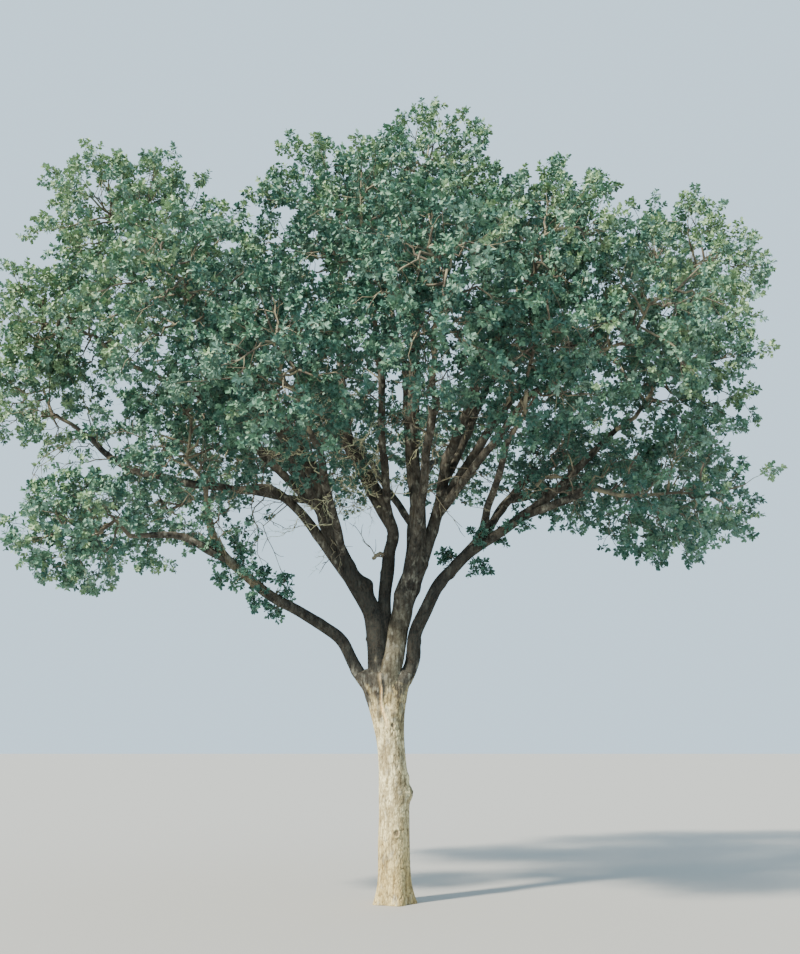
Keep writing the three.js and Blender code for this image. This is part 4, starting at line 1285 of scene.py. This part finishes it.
def blades(roots, headings, facing):
    """Points of the leaves: the outline's shares laid along each heading, across it and towards its
    face, with the length drawn for each leaf."""
    face = unit(facing - (facing * headings).sum(axis=-1, keepdims=True) * headings)
    across = np.cross(face, headings)
    length = growth.uniform(*LEAF_LENGTH, (len(roots), 1, 1))
    along, wide, lift = LEAF_OUTLINE.T[:, None, :, None]
    offsets = along * headings[:, None] + wide * LEAF_WIDTH * across[:, None] + lift * face[:, None]
    return roots[:, None] + length * offsets


def leaf_material(name, green):
    """A leaf: its green, darker in slow patches, and a pale midrib by the blade's own map."""
    material, tree, inputs = new_material(name, roughness=0.55)
    shade = tuple(LEAF_SHADE * part for part in green[:3]) + (1,)
    pale = tuple(min(1.0, MIDRIB_PALER * part) for part in green[:3]) + (1,)
    patches = ranged(tree, noise(tree, LEAF_PATCHES[0]), *LEAF_PATCHES[1:])
    place = tree.nodes.new("ShaderNodeUVMap")
    parts = tree.nodes.new("ShaderNodeSeparateXYZ")
    tree.links.new(place.outputs["UV"], parts.inputs["Vector"])
    midrib = ranged(tree, parts.outputs["Y"], *MIDRIB)
    colour = laid_over(tree, midrib, laid_over(tree, patches, green, shade), pale)
    tree.links.new(colour, inputs["Base Color"])
    return material


greens = [leaf_material(name, green) for name, (green, _) in LEAF_GREENS.items()]
green_shares = [share for _, share in LEAF_GREENS.values()]
blade_uv = np.stack([LEAF_OUTLINE[:, 0], np.abs(LEAF_OUTLINE[:, 1])], axis=-1)[LEAF_FACES.ravel()]


def leaf_piece(name, feet, tips, twig_of):
    """All the leaves on some shoots as one piece. A rosette's green is drawn for its twig or for
    itself, and the further out it is in the crown, the nearer to the light end of the greens, partly
    as lighter sun leaves and partly as painted light, and by a bell the darker towards the crown's
    heart across and up, whatever its depth, which is painted shade."""
    of_twig = growth.uniform(size=twig_of.max() + 1)[twig_of]
    own = growth.uniform(size=len(feet))
    drawn = np.where(growth.uniform(size=len(feet)) < TINT_BY_TWIG, of_twig, own)
    outward = np.linalg.norm((tips - CROWN_MIDDLE) / CROWN_REACH, axis=-1)
    # Painted shade: darker greens in a bell round the crown's heart across and up.
    heart = bell(*((tips[:, [0, 2]] - HEART_MIDDLE) / HEART_REACH).T)
    drawn = drawn + SUN_LEAVES * (outward - SUN_LEAVES_AT) - PAINTED_HEART_SHADE * heart
    drawn = np.clip(drawn, 0, 0.999)
    tint = np.searchsorted(np.cumsum(green_shares), drawn)
    leaves = blades(*rosettes(feet, tips))
    faces = LEAF_FACES + len(LEAF_OUTLINE) * np.arange(len(leaves))[:, None, None]
    mesh = mesh_of(name, leaves.reshape(-1, 3), faces.reshape(-1, 3))
    slots = np.repeat(tint, LEAVES_PER_SHOOT * len(LEAF_FACES))
    mesh.polygons.foreach_set("material_index", slots.astype(np.int32))
    mesh.uv_layers.new(name="blade").data.foreach_set("uv", np.tile(blade_uv.ravel(), len(leaves)))
    piece = piece_of(mesh, *greens)
    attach(piece, "root")
    return piece


for group, names in LEAF_GROUPS.items():
    firsts = np.cumsum([0] + [len(masses[name][2]) for name in names])
    twig_of = np.concatenate([masses[name][5] + first for name, first in zip(names, firsts)])
    leaves = leaf_piece(group, all_of(names, 3), all_of(names, 4), twig_of)
    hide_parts(*[f"foliage_{name}" for name in names])

leafy = round(len(inner) * (1 - DEAD_SHARE)) * INNER_TWIGS[0] * INNER_SHOOTS[0]
feet, tips = (ends[:leafy] for ends in inner_shoots)
leaf_piece("leaves_inner", feet, tips, np.arange(leafy) // INNER_SHOOTS[0])
feet, tips = limb_spray_shoots
leaf_piece("leaves_on_limbs", feet, tips, np.arange(len(feet)) // LIMB_SPRAY_SHOOTS[0])
